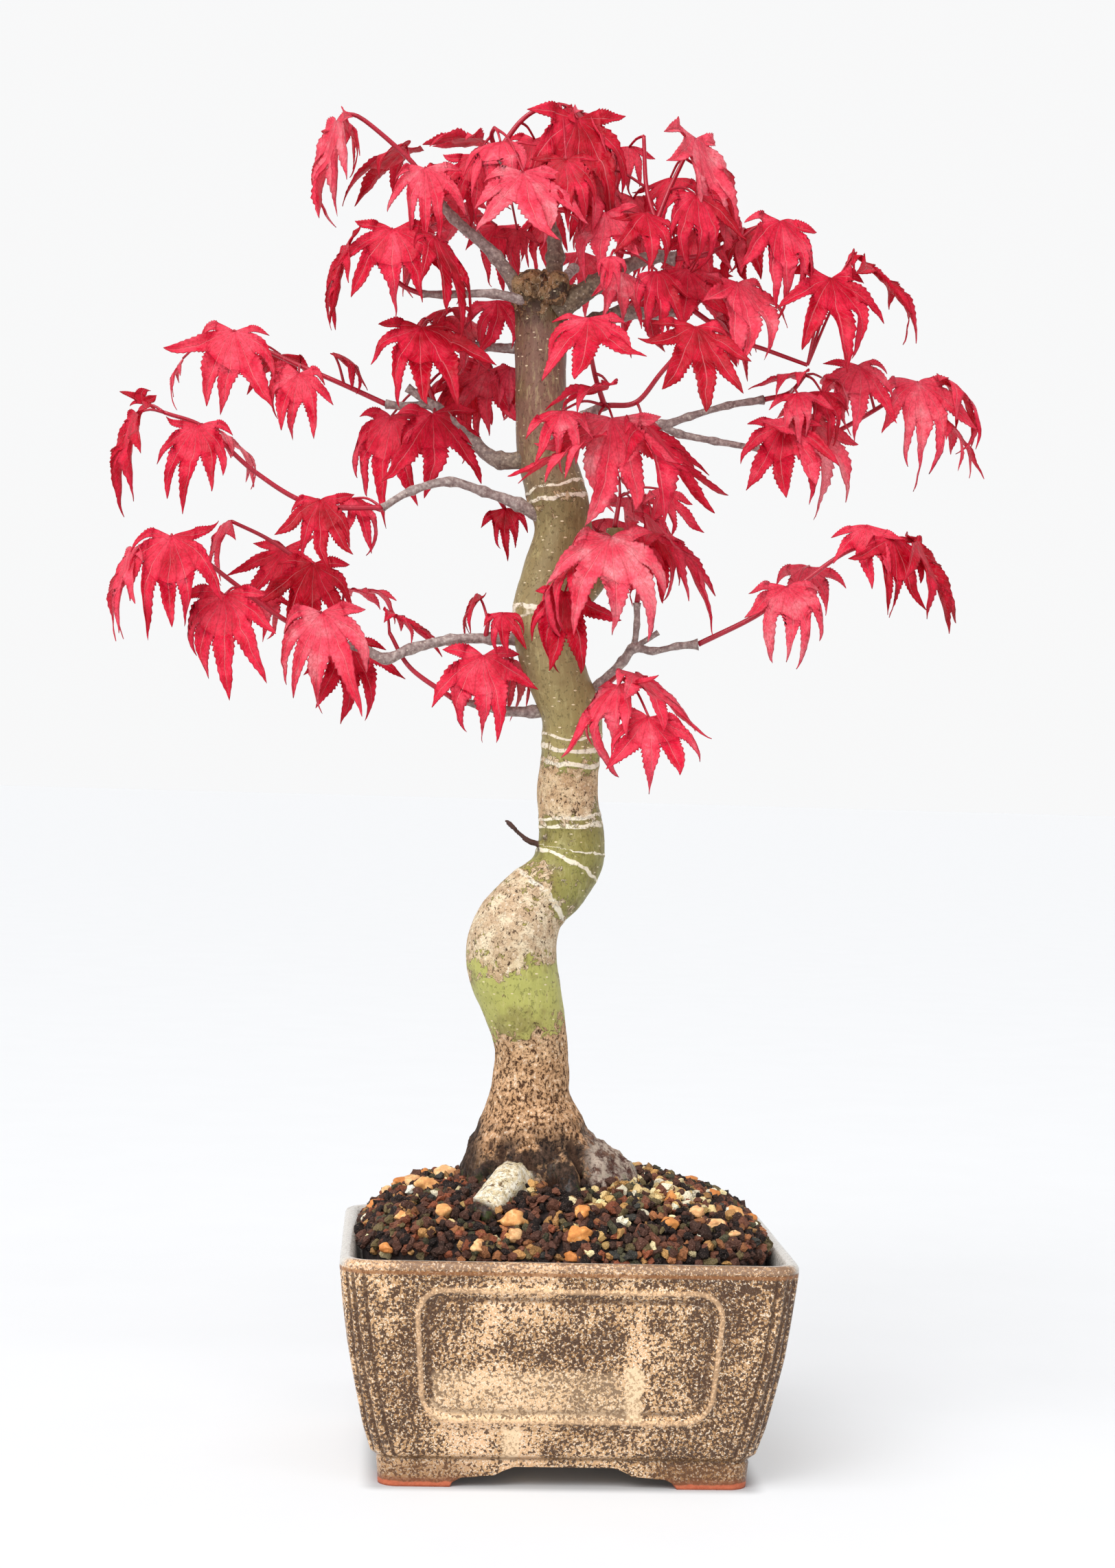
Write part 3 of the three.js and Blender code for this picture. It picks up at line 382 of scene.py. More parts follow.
class Nodes:
    """A material's node tree, with short calls for the nodes that the materials share."""

    def __init__(self, name):
        self.material = bpy.data.materials.new(name)
        self.material.use_nodes = True
        self.tree = self.material.node_tree
        self.shader = self.tree.nodes["Principled BSDF"]
        self.output = self.tree.nodes["Material Output"]
        self.place = self.add("ShaderNodeTexCoord").outputs["Object"]

    def add(self, kind, **values):
        node = self.tree.nodes.new(kind)
        for key, value in values.items():
            setattr(node, key, value)
        return node

    def feed(self, socket, value):
        if isinstance(value, bpy.types.NodeSocket):
            self.tree.links.new(value, socket)
        else:
            socket.default_value = value

    def set(self, name, value):
        """Feeds an input of the main shader."""
        self.feed(self.shader.inputs[name], value)

    def separate(self, vector):
        node = self.add("ShaderNodeSeparateXYZ")
        self.feed(node.inputs[0], vector)
        return node.outputs

    def places(self):
        """In mm: x from the middle of the pot, y, and z from the ground."""
        x, y, z = [self.times(output, 1 / MM) for output in self.separate(self.place)]
        return self.minus(x, POT_X), y, z

    def stretched(self, scale):
        node = self.add("ShaderNodeMapping")
        self.feed(node.inputs["Vector"], self.place)
        node.inputs["Scale"].default_value = scale
        return node.outputs["Vector"]

    def noise(self, size_mm, detail=3, rough=0.55, place=None, warp=0.0):
        node = self.add("ShaderNodeTexNoise")
        self.feed(node.inputs["Vector"], place or self.place)
        node.inputs["Scale"].default_value = 1 / (size_mm * MM)
        node.inputs["Detail"].default_value = detail
        node.inputs["Roughness"].default_value = rough
        node.inputs["Distortion"].default_value = warp
        return node.outputs["Fac"]

    def wander(self, size_mm, reach, rough=0.55):
        """A noise that strays to both sides of zero, by up to half of reach."""
        return self.times(self.minus(self.noise(size_mm, 3, rough), 0.5), reach)

    def cells(self, size_mm, place=None):
        node = self.add("ShaderNodeTexVoronoi", feature="F1")
        self.feed(node.inputs["Vector"], place or self.place)
        node.inputs["Scale"].default_value = 1 / (size_mm * MM)
        return node.outputs["Distance"]

    def attribute(self, name, output="Fac"):
        return self.add("ShaderNodeAttribute", attribute_name=name).outputs[output]

    def math(self, operation, a, b=0.0):
        node = self.add("ShaderNodeMath", operation=operation)
        self.feed(node.inputs[0], a)
        self.feed(node.inputs[1], b)
        return node.outputs[0]

    def plus(self, a, b):
        return self.math("ADD", a, b)

    def minus(self, a, b):
        return self.math("SUBTRACT", a, b)

    def times(self, a, b):
        return self.math("MULTIPLY", a, b)

    def larger(self, a, b):
        return self.math("MAXIMUM", a, b)

    def size(self, a):
        return self.math("ABSOLUTE", a)

    def step(self, value, low, high, start=0.0, end=1.0):
        node = self.add("ShaderNodeMapRange", interpolation_type="SMOOTHSTEP")
        self.feed(node.inputs["Value"], value)
        for key, number in (("From Min", low), ("From Max", high), ("To Min", start), ("To Max", end)):
            node.inputs[key].default_value = number
        return node.outputs["Result"]

    def band(self, value, middle, inner, outer, strength=1.0):
        """Full strength within inner of the middle value, and nothing beyond outer."""
        return self.step(self.size(self.minus(value, middle)), inner, outer, strength, 0)

    def mix(self, share, a, b):
        node = self.add("ShaderNodeMix", data_type="RGBA", blend_type="MIX")
        self.feed(node.inputs["Factor"], share)
        self.feed(node.inputs[6], a if isinstance(a, bpy.types.NodeSocket) else colour(a))
        self.feed(node.inputs[7], b if isinstance(b, bpy.types.NodeSocket) else colour(b))
        return node.outputs[2]

    def ramp(self, value, stops):
        node = self.add("ShaderNodeValToRGB")
        self.feed(node.inputs["Fac"], value)
        ramp = node.color_ramp
        while len(ramp.elements) < len(stops):
            ramp.elements.new(0.5)
        for element, (position, code) in zip(ramp.elements, stops):
            element.position = position
            element.color = colour(code)
        return node.outputs["Color"]

    def bump(self, height, depth_mm, strength=1.0):
        node = self.add("ShaderNodeBump")
        self.feed(node.inputs["Height"], height)
        node.inputs["Strength"].default_value = strength
        node.inputs["Distance"].default_value = depth_mm * MM
        self.set("Normal", node.outputs["Normal"])
        return node.outputs["Normal"]


def colour(code):
    """Linear colour of a web colour code."""
    parts = [int(code[i:i + 2], 16) / 255 for i in (1, 3, 5)]
    return [c / 12.92 if c <= 0.04045 else ((c + 0.055) / 1.055) ** 2.4 for c in parts] + [1.0]


def grey(value):
    """Colour code whose linear brightness is value."""
    encoded = 12.92 * value if value <= 0.0031308 else 1.055 * value ** (1 / 2.4) - 0.055
    return "#" + 3 * format(round(255 * encoded), "02x")


# ---- Materials ----------------------------------------------------------------------------------

# Pale runs on the front's glaze, in mm and share: [middle, half width, bottom, top, strength].
GLAZE_RUNS = ((24, 2.4, 27, 45, 0.8), (-20, 2.6, 11, 22, 0.8), (-12, 36, 27, 43, 0.32))
RUST_LINE = 79.6
LIP_FROM = 80.2
APRON_LINE = 10.8


def glaze_material():
    m = Nodes("speckled_glaze")
    x, y, z = m.places()
    # Darkness of the glaze: thinner glaze in clouds, plus painted shade towards the top and the right.
    thin_and_shaded = glaze_thinness_and_shade(m, x, z)
    ground = m.ramp(thin_and_shaded, [(0.4, "#ecc095"), (0.52, "#d4a878"), (0.64, "#a87e50"), (0.8, "#7d5a36")])
    limit = m.step(thin_and_shaded, 0.38, 0.7, 0.585, 0.465)
    dark = m.step(m.minus(m.noise(1.15, 2, 0.6, warp=0.4), limit), -0.012, 0.03)
    grain = m.step(m.noise(0.62, 2, 0.6), 0.52, 0.6)
    body = m.mix(m.times(grain, 0.7), ground, "#ffefd8")
    body = m.mix(m.times(dark, 0.92), body, "#40230c")
    relief = m.attribute("relief")
    # Painted highlight: the raised ridges of the relief are lightened to a pale tan.
    ridge = m.step(relief, 0.12, 0.7, 0, 0.6)
    body = m.mix(ridge, body, m.mix(m.times(dark, 0.35), "#efc599", "#8a6138"))
    # Painted shade: the grooves of the relief are darkened.
    body = m.mix(m.step(relief, -1.0, -0.35, 0.8, 0), body, "#4a2c12")
    body = glaze_runs(m, body, dark, x, y, z)
    body = glaze_rim(m, body, y, z)
    body, bare = glaze_foot(m, body, x, z)
    m.set("Base Color", body)
    m.set("Roughness", m.plus(m.step(bare, 0, 1, 0.24, 0.85), m.times(dark, 0.12)))
    m.set("Coat Weight", 0.2)
    m.set("Coat Roughness", 0.08)
    m.set("Specular IOR Level", 0.35)
    m.bump(m.plus(m.noise(1.4, 3), m.times(dark, -0.45)), 0.16, 0.7)
    return m.material


def glaze_thinness_and_shade(m, x, z):
    """Where this is high the glaze is dark: thinner in clouds, and darker towards the top and the right as
    painted shade.
    """
    cloud = m.noise(34, 3, 0.55, warp=0.5)
    blotch = m.noise(8, 4, 0.65)
    clouds = m.plus(m.times(cloud, 0.7), m.times(blotch, 0.45))
    # Painted shade: the two steps darken the glaze towards the top and to the right.
    return m.plus(clouds, m.plus(m.step(z, 40, 74, 0, 0.055), m.step(x, 20, 75, -0.02, 0.06)))


def glaze_runs(m, body, dark, x, y, z):
    """Where the glaze ran: an upright streak, a lower one on the left, and a thicker sheet between."""
    pale = m.mix(m.times(dark, 0.5), "#f4d5ad", "#9a7044")
    front = m.math("LESS_THAN", y, -40)
    wobble = m.wander(4, 5)
    level = m.plus(z, wobble)
    for middle, half, low, high, strength in GLAZE_RUNS:
        across = m.plus(m.size(m.minus(x, middle)), wobble)
        inside = m.step(across, half, half + 1.2, 1, 0)
        height = m.times(m.step(level, low - 2, low), m.step(level, high, high + 2, 1, 0))
        body = m.mix(m.times(m.times(front, m.times(inside, height)), strength), body, pale)
    return body


def glaze_rim(m, body, y, z):
    """A rusty line under the lip, thick milk-white glaze on the inner wall, and the same grey on all rims but
    the front's as a painted reflection of the sky.
    """
    body = m.mix(m.band(z, RUST_LINE, 0.3, 1.1, 0.8), body, "#8f5b30")
    lip = m.step(z, LIP_FROM, LIP_FROM + 0.8)
    body = m.mix(m.times(lip, 0.35), body, "#c9a283")
    milky_glaze_and_reflection = m.mix(m.step(m.noise(1.3, 3), 0.54, 0.66, 0, 0.6), "#cdc8c0", "#8b8078")
    # Painted reflection: the lip away from the front takes the inner wall's pale grey, as the sky would show
    # in it.
    away = m.times(lip, m.step(y, -62, -57))
    return m.mix(m.larger(m.attribute("inner"), away), body, milky_glaze_and_reflection)


def glaze_foot(m, body, x, z):
    """A dark line along the apron, painted shade in its step, brown corners, and bare clay at the bottom,
    burnt where the glaze ends.
    """
    # Painted shade in the step at the top of the foot band.
    body = m.mix(m.band(z, APRON_LINE, 0.3, 1.2, 0.6), body, "#5b4027")
    corners = m.times(m.step(z, 7, 12, 1, 0), m.step(m.size(x), 22, 42))
    body = m.mix(m.times(corners, 0.55), body, "#6e4522")
    edge = m.plus(z, m.wander(5, 2.4))
    body = m.mix(m.step(edge, 2.2, 4.5, 0.8, 0), body, "#7d4526")
    bare = m.step(edge, 1.5, 2.1, 1, 0)
    return m.mix(bare, body, m.mix(m.noise(2, 4), "#ab4a2c", "#d07a58")), bare


def grit_material():
    m = Nodes("lava_grit")
    pores = m.noise(0.5, 3, 0.7)
    body = m.mix(m.step(pores, 0.3, 0.52, 0.65, 0), m.attribute("tone", "Color"), "#0d0706")
    body = m.mix(m.step(pores, 0.56, 0.72, 0, 0.5), body, "#a98d80")
    m.set("Base Color", body)
    m.set("Roughness", m.step(pores, 0.3, 0.7, 0.62, 0.95))
    m.set("Specular IOR Level", 0.25)
    m.bump(m.plus(m.cells(0.7), pores), 0.3, 0.9)
    return m.material


def bed_material():
    m = Nodes("soil_bed")
    m.set("Base Color", m.ramp(m.noise(2.4, 5, 0.7), [(0.3, "#0b0605"), (0.5, "#1f1412"), (0.7, "#3a2723")]))
    m.set("Roughness", 0.95)
    m.bump(m.noise(1.4, 4, 0.7), 0.8)
    return m.material


def pebble_material():
    m = Nodes("orange_pebble")
    worn = m.noise(2.2, 5, 0.65)
    body = m.mix(m.step(worn, 0.38, 0.62, 0.55, 0), m.attribute("tone", "Color"), "#b8682c")
    body = m.mix(m.step(worn, 0.55, 0.75, 0, 0.6), body, "#ffe3b4")
    body = m.mix(m.step(m.noise(0.7, 2), 0.62, 0.74, 0, 0.6), body, "#9a5a2a")
    m.set("Base Color", body)
    m.set("Roughness", m.step(worn, 0.3, 0.7, 0.6, 0.85))
    m.bump(m.noise(0.8, 4, 0.65), 0.22)
    return m.material


def net_material():
    m = Nodes("drain_net")
    m.set("Base Color", m.mix(m.noise(1.5, 3), "#14180f", "#2b3026"))
    m.set("Roughness", m.step(m.noise(4, 2), 0.3, 0.7, 0.45, 0.65))
    m.bump(m.noise(0.4, 2), 0.08)
    return m.material


# Bark up the trunk: [height in mm along its middle, share covered by cork, colour of the cork, of the skin].
BARK = [
    (84, 0.5, "#5a4439", "#231a18"), (101, 0.42, "#77604f", "#2c2220"), (109, 0.66, "#a98767", "#3b2a22"),
    (116, 0.95, "#cfa178", "#5c4630"), (140, 1, "#d9ad82", "#7c6a3a"), (150, 0.9, "#dcb48a", "#a7a256"),
    (158, 0.5, "#ddb993", "#aca65a"), (164, 0.22, "#dcc39d", "#aeab5c"), (177, 0.16, "#dccaa2", "#aead5f"),
    (182, 0.6, "#ddc8a2", "#a8a557"), (188, 0.8, "#e4d2b2", "#a3994f"), (200, 0.74, "#e4d0b0", "#9c9049"),
    (207, 0.5, "#dcc8a4", "#8f8746"), (213, 0.2, "#e6dcbf", "#8d8847"), (234, 0.2, "#e9dfc6", "#847a42"),
    (240, 0.78, "#dcc29c", "#8d8148"), (254, 0.82, "#d8bd96", "#8f8550"), (259, 0.45, "#d6bf98", "#93914c"),
    (267, 0.35, "#dcc7a2", "#9b8d58"), (274, 0.12, "#d6c39c", "#9a8a58"), (300, 0.06, "#cbb68c", "#94835a"),
    (345, 0.1, "#cfb98e", "#85754c"), (358, 0.45, "#cbb288", "#80704a"), (366, 0.12, "#b89b78", "#7d654c"),
    (385, 0.06, "#a88a70", "#7d5b4a"), (420, 0.16, "#a0836c", "#78574a"), (430, 0.5, "#8d7154", "#3f2c20"),
    (438, 0.7, "#a88c66", "#2c1e16"),
]
BARK_LOW = 80
BARK_HIGH = 440
# Pale rings round the trunk: [height along its middle, half width].
BARK_RINGS = [
    (206, 0.8), (218.5, 0.8), (223, 0.5), (233.5, 1.3), (237, 0.8), (257.5, 1), (263.5, 1.1), (268, 0.6),
    (313, 1.2), (357, 0.9), (361, 0.6),
]


def up_trunk(column):
    """Colour stops from one column of the bark's list."""
    return [((row[0] - BARK_LOW) / (BARK_HIGH - BARK_LOW), row[column]) for row in BARK]


def bark_material():
    m = Nodes("maple_bark")
    height = m.attribute("along")
    jitter = m.wander(17, 22, 0.6)
    share = m.math("DIVIDE", m.minus(m.plus(height, jitter), BARK_LOW), BARK_HIGH - BARK_LOW)
    covered = m.separate(m.ramp(share, [(at, grey(value)) for at, value in up_trunk(1)]))[0]
    flake = m.noise(4.5, 6, 0.72, warp=0.5)
    excess = m.minus(m.plus(m.times(covered, 0.42), 0.29), flake)
    cork = m.step(excess, -0.008, 0.008)
    grain = m.noise(1.4, 5, 0.75, place=m.stretched((1, 1, 0.75)))
    pits = bark_pits(m, height, grain)
    body = m.mix(cork, bark_skin(m, share), bark_cork(m, share, grain, pits))
    cork_edge = m.times(m.band(excess, 0, 0.004, 0.02), m.step(height, 104, 150, 0.2, 0.6))
    body = m.mix(cork_edge, body, "#5b3d22")
    body = bark_marks(m, body, height, flake, cork)
    body = bark_roots(m, body, height, jitter, grain)
    m.set("Base Color", bark_cuts(m, body))
    m.set("Roughness", m.step(cork, 0, 1, 0.46, 0.85))
    m.set("Specular IOR Level", 0.3)
    raised = m.plus(m.times(m.times(grain, cork), 1.2), m.times(cork, 0.5))
    raised = m.plus(raised, m.times(pits, -0.5))
    m.bump(m.plus(raised, m.times(flake, 0.5)), 0.6, 0.9)
    return m.material


def bark_pits(m, height, grain):
    """The cork of the lowest stretch is deeply pitted; higher up the pits are few."""
    pitted = m.times(m.step(height, 106, 118), m.step(height, 146, 164, 1, 0.55))
    limit = m.plus(m.times(pitted, 0.12), 0.345)
    return m.step(m.minus(limit, grain), -0.01, 0.03)


def bark_skin(m, share):
    """The smooth green skin, with brown clouds and pale upright streaks."""
    skin = m.mix(m.step(m.noise(12, 4, 0.6), 0.5, 0.68, 0, 0.5), m.ramp(share, up_trunk(3)), "#6f5a36")
    streaks = m.noise(1.4, 4, 0.7, place=m.stretched((1, 1, 0.22)))
    return m.mix(m.step(streaks, 0.5, 0.7, 0, 0.3), skin, "#d0c58e")


def bark_cork(m, share, grain, pits):
    """The flaking cork: blotched, frosted, pitted and cracked."""
    body = m.mix(m.step(m.noise(5, 4, 0.65), 0.42, 0.62, 0.5, 0), m.ramp(share, up_trunk(2)), "#a4764a")
    body = m.mix(m.step(grain, 0.55, 0.7, 0, 0.75), body, "#fff4e0")
    body = m.mix(m.times(pits, 0.95), body, "#3a1d0a")
    cracks = m.noise(4, 5, 0.7, place=m.stretched((1, 1, 1.7)))
    return m.mix(m.band(cracks, 0.5, 0.004, 0.016, 0.75), body, "#4e2f18")


def bark_marks(m, body, height, flake, cork):
    """Pale broken rings, and the lenticels of the smooth skin."""
    broken = m.step(flake, 0.44, 0.48, 0.1, 0.95)
    level = m.plus(height, m.wander(9, 5))
    for at, half in BARK_RINGS:
        body = m.mix(m.times(m.band(level, at, half * 0.6, half), broken), body, "#ece1cb")
    lenticels = m.cells(3.1, m.stretched((0.6, 0.6, 1.5)))
    smooth = m.times(m.minus(1.0, cork), m.step(height, 140, 160))
    return m.mix(m.times(m.step(lenticels, 0.1, 0.15, 0.85, 0), smooth), body, "#ead9b6")


def bark_roots(m, body, height, jitter, grain):
    """The roots: dark and damp at the left and in stains, painted shade in their hollows, pinkish at the
    right, with some moss.
    """
    x, _, _ = m.places()
    # Painted shade: this cavity value darkens the roots in their hollows.
    cavity_shade = m.attribute("cavity_shade")
    stain = m.step(m.noise(8, 5, 0.65), 0.4, 0.52)
    left = m.step(x, -36, -28, 1, 0)
    low = m.plus(m.times(left, -9.0), m.plus(height, m.times(jitter, 0.7)))
    low = m.step(low, 115, 124, 1, 0)
    # Damp at the left and in stains, and painted shade in the hollows.
    wet_and_shaded = m.larger(m.larger(stain, left), cavity_shade)
    soaked_and_shaded = m.mix(m.step(grain, 0.42, 0.62), "#140d0b", "#49342a")
    body = m.mix(m.times(m.times(wet_and_shaded, low), 0.94), body, soaked_and_shaded)
    # More painted shade in the hollows.
    body = m.mix(m.times(cavity_shade, 0.55), body, "#3b2210")
    pinkish = m.mix(m.step(m.noise(4, 5, 0.7), 0.42, 0.6), "#54332d", "#cbb9a8")
    body = m.mix(m.times(m.times(m.step(x, 5, 11), low), 0.75), body, pinkish)
    moss = m.times(m.step(m.noise(4, 4), 0.55, 0.62), m.step(height, 100, 110, 1, 0))
    return m.mix(m.times(moss, 0.6), body, "#3c481c")


def bark_cuts(m, body):
    """The sawn wood of the cut root, with its cracks, and the dark dead twig."""
    wood = m.mix(m.step(m.noise(2.2, 4, 0.7), 0.4, 0.6), "#d8c59c", "#f4ecd8")
    checks = m.noise(1.5, 5, 0.75, place=m.stretched((0.5, 1, 1)))
    wood = m.mix(m.step(checks, 0.38, 0.45, 0.9, 0), wood, "#5c3c1a")
    body = m.mix(m.attribute("cut"), body, wood)
    return m.mix(m.attribute("dead"), body, "#4a3129")


def twig_material():
    m = Nodes("twig_bark")
    streak = m.noise(1.6, 4, 0.6)
    young = m.ramp(streak, [(0.3, "#6b5652"), (0.5, "#93817c"), (0.7, "#bdb0a8")])
    old = m.ramp(streak, [(0.3, "#43332a"), (0.5, "#705f4a"), (0.7, "#9d8c72")])
    body = m.mix(m.attribute("aged"), young, old)
    body = m.mix(m.step(m.cells(1.9), 0.1, 0.22, 0.55, 0), body, "#d8ccba")
    m.set("Base Color", body)
    m.set("Roughness", m.step(streak, 0.3, 0.7, 0.5, 0.75))
    m.bump(m.noise(0.6, 3), 0.18)
    return m.material


def stem_material():
    m = Nodes("red_stem")
    body = m.mix(m.noise(6, 3), "#8e0a22", "#c01834")
    body = m.mix(m.step(m.noise(1.2, 2), 0.6, 0.75, 0, 0.5), body, "#e0566a")
    m.set("Base Color", body)
    m.set("Roughness", m.step(m.noise(3, 2), 0.3, 0.7, 0.3, 0.45))
    m.bump(m.noise(0.8, 2), 0.06)
    return m.material


# Leaf reds, partly their own colour: the dark end stands in for painted shade and the pale end for painted
# sheen, given out at random by leaf and patch.
LEAF_REDS_SHADE_AND_SHEEN = [(0, "#960010"), (0.2, "#c40526"), (0.45, "#ee264a"), (0.72, "#ff5a72"), (1, "#ffa4ac")]


def leaf_veins(m, across):
    """The midrib, and side veins that run forward from it to the teeth."""
    phase = m.minus(m.times(m.attribute("along"), 11), m.times(across, 2.6))
    side = m.times(m.band(m.math("FRACT", phase), 0.5, 0, 0.1), m.step(across, 0.75, 1, 1, 0.2))
    return m.larger(m.step(across, 0.02, 0.09, 1, 0), m.times(side, 0.4))


def leaf_material():
    m = Nodes("maple_leaf")
    across = m.attribute("across")
    patch = m.noise(8, 4, 0.6)
    tone = m.plus(m.times(m.attribute("tint"), 0.8), m.minus(patch, 0.5))
    # Painted shade and sheen: the ramp's dark and pale ends, picked at random per leaf and patch.
    body = m.ramp(tone, LEAF_REDS_SHADE_AND_SHEEN)
    body = m.mix(m.step(m.noise(0.9, 3, 0.6), 0.35, 0.62, 0.35, 0), body, "#9c0014")
    vein = leaf_veins(m, across)
    body = m.mix(m.times(vein, 0.42), body, "#ff9ba0")
    body = m.mix(m.step(across, 0.84, 1, 0, 0.4), body, "#8c0014")
    m.set("Base Color", body)
    m.set("Roughness", m.step(patch, 0.3, 0.7, 0.36, 0.5))
    m.set("Specular IOR Level", 0.22)
    height = m.plus(m.times(vein, -0.8), m.times(m.noise(2.2, 3), 1.2))
    normal = m.bump(height, 0.4, 0.8)
    let_light_through(m, m.mix(0.5, body, "#ff2440"), normal)
    return m.material


def let_light_through(m, shade, normal):
    glow = m.add("ShaderNodeBsdfTranslucent")
    m.feed(glow.inputs["Color"], shade)
    m.feed(glow.inputs["Normal"], normal)
    both = m.add("ShaderNodeMixShader")
    both.inputs["Fac"].default_value = LEAF_GLOW
    m.feed(both.inputs[1], m.shader.outputs["BSDF"])
    m.feed(both.inputs[2], glow.outputs["BSDF"])
    m.feed(m.output.inputs["Surface"], both.outputs["Shader"])


def floor_material():
    """A pale floor lit from within like a light table, but not under the pot, so that shadows stay faint."""
    m = Nodes("studio_floor")
    x, y, _ = m.places()
    across = m.larger(m.minus(m.size(x), UNLIT_HALF[0]), 0.0)
    deep = m.larger(m.minus(m.size(y), UNLIT_HALF[1]), 0.0)
    away = m.math("SQRT", m.plus(m.times(across, across), m.times(deep, deep)))
    m.set("Base Color", m.mix(m.noise(60, 3), "#b4b5b7", "#b8b9bb"))
    m.set("Emission Color", colour("#fdfeff"))
    m.set("Emission Strength", m.step(away, 0, UNLIT_FADE, 0.02, FLOOR_GLOW))
    m.set("Roughness", 0.9)
    m.set("Specular IOR Level", 0.1)
    return m.material


# ---- Mesh helpers -------------------------------------------------------------------------------

def make_object(name, verts, faces, materials, attributes=None, smooth=True):
    """A mesh object from points in mm. attributes: name to one number or colour for each point."""
    mesh = bpy.data.meshes.new(name)
    mesh.from_pydata((np.asarray(verts, float) * MM).tolist(), [], faces)
    for key, values in (attributes or {}).items():
        add_attribute(mesh, key, values)
    for material in materials:
        mesh.materials.append(material)
    mesh.polygons.foreach_set("use_smooth", [smooth] * len(mesh.polygons))
    mesh.validate()
    mesh.update()
    ob = bpy.data.objects.new(name, mesh)
    bpy.context.scene.collection.objects.link(ob)
    return ob


def add_attribute(mesh, key, values):
    values = np.asarray(values, np.float32)
    if values.ndim == 1:
        mesh.attributes.new(key, "FLOAT", "POINT").data.foreach_set("value", values)
    else:
        mesh.attributes.new(key, "FLOAT_COLOR", "POINT").data.foreach_set("color", values.ravel())


def place_piece(ob, slot, *nodes):
    move = Matrix.Translation((POT_X * MM, 0, 0 if slot == "glaze" else LIST_GROUND * MM))
    if slot in ("bark", "twig", "leaf"):
        lean = Matrix.Identity(4)
        lean[0][2] = -TREE_LEAN
        lean[0][3] = TREE_LEAN * LEAN_FROM * MM
        move = move @ lean
    ob.data.transform(move)
    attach(ob, "root")
    if nodes:
        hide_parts(*nodes)
    return ob


def ring_faces(rings, sides, first=0):
    faces = []
    for ring in range(rings - 1):
        for side in range(sides):
            a = first + ring * sides + side
            b = first + ring * sides + (side + 1) % sides
            faces.append((a, b, b + sides, a + sides))
    return faces


def smooth_places(places, spacing):
    """Places [x, y, z, radius] on a Catmull-Rom curve through the given ones, about spacing mm apart."""
    points = np.asarray(places, float)
    padded = np.vstack([2 * points[0] - points[1], points, 2 * points[-1] - points[-2]])
    out = []
    for i in range(len(points) - 1):
        p0, p1, p2, p3 = padded[i:i + 4]
        count = max(1, int(np.linalg.norm(p2[:3] - p1[:3]) / spacing))
        for t in np.arange(count) / count:
            out.append(0.5 * (2 * p1 + (p2 - p0) * t + (2 * p0 - 5 * p1 + 4 * p2 - p3) * t * t
                              + (3 * p1 - p0 - 3 * p2 + p3) * t ** 3))
    out.append(points[-1])
    return np.array(out)


def tube(places, sides, first=0, shape=None):
    """Points and faces of a closed tube. shape(ring, side angle, centre) scales its radius."""
    centres = [Vector(p[:3]) for p in places]
    last = len(centres) - 1
    headings = [(centres[min(i + 1, last)] - centres[max(i - 1, 0)]).normalized() for i in range(last + 1)]
    across = headings[0].orthogonal().normalized()
    verts = []
    for i, centre in enumerate(centres):
        if i:
            across = headings[i - 1].rotation_difference(headings[i]) @ across
        up = headings[i].cross(across)
        for side in range(sides):
            angle = 2 * math.pi * side / sides
            scale = shape(i, angle, centre) if shape else 1
            verts.append(centre + (across * math.cos(angle) + up * math.sin(angle)) * places[i][3] * scale)
    faces = ring_faces(len(centres), sides, first)
    faces.append(tuple(first + side for side in reversed(range(sides))))
    faces.append(tuple(first + last * sides + side for side in range(sides)))
    return [tuple(v) for v in verts], faces


# ---- Stage --------------------------------------------------------------------------------------

def make_camera():
    data = bpy.data.cameras.new("camera")
    data.sensor_width = SENSOR
    data.lens = SENSOR * FOCAL_PIXELS / IMAGE_HEIGHT
    data.clip_end = 50
    camera = bpy.data.objects.new("camera", data)
    bpy.context.scene.collection.objects.link(camera)
    away = Vector((math.sin(CAMERA_SIDE), -math.cos(CAMERA_SIDE), 0))
    camera.location = Vector((AIM_X, 0, CAMERA_HEIGHT)) + away * CAMERA_DISTANCE
    turn = Quaternion((0, 0, 1), CAMERA_SIDE) @ Quaternion((1, 0, 0), math.pi / 2)
    camera.rotation_mode = "QUATERNION"
    camera.rotation_quaternion = turn @ Quaternion((0, 0, 1), CAMERA_ROLL)
    bpy.context.scene.camera = camera


def softbox(name, place, size, power):
    data = bpy.data.lights.new(name, "AREA")
    data.shape = "RECTANGLE"
    data.size, data.size_y = size
    data.energy = power
    light = bpy.data.objects.new(name, data)
    light.location = place
    light.rotation_euler = (Vector(SOFTBOX_AIM) - Vector(place)).to_track_quat("-Z", "Y").to_euler()
    bpy.context.scene.collection.objects.link(light)


def make_world():
    """A pale studio: bright round the horizon, dimmer overhead, so that shapes keep their shading."""
    world = bpy.data.worlds.new("studio")
    world.use_nodes = True
    tree = world.node_tree
    place = tree.nodes.new("ShaderNodeTexCoord")
    split = tree.nodes.new("ShaderNodeSeparateXYZ")
    level = tree.nodes.new("ShaderNodeMapRange")
    level.interpolation_type = "SMOOTHSTEP"
    names = ("From Min", "From Max", "To Min", "To Max")
    for key, number in zip(names, (*DIMMING, HORIZON_LIGHT, OVERHEAD_LIGHT)):
        level.inputs[key].default_value = number
    background = tree.nodes["Background"]
    background.inputs["Color"].default_value = WORLD_COLOUR
    tree.links.new(place.outputs["Generated"], split.inputs[0])
    tree.links.new(split.outputs["Z"], level.inputs["Value"])
    tree.links.new(level.outputs["Result"], background.inputs["Strength"])
    bpy.context.scene.world = world


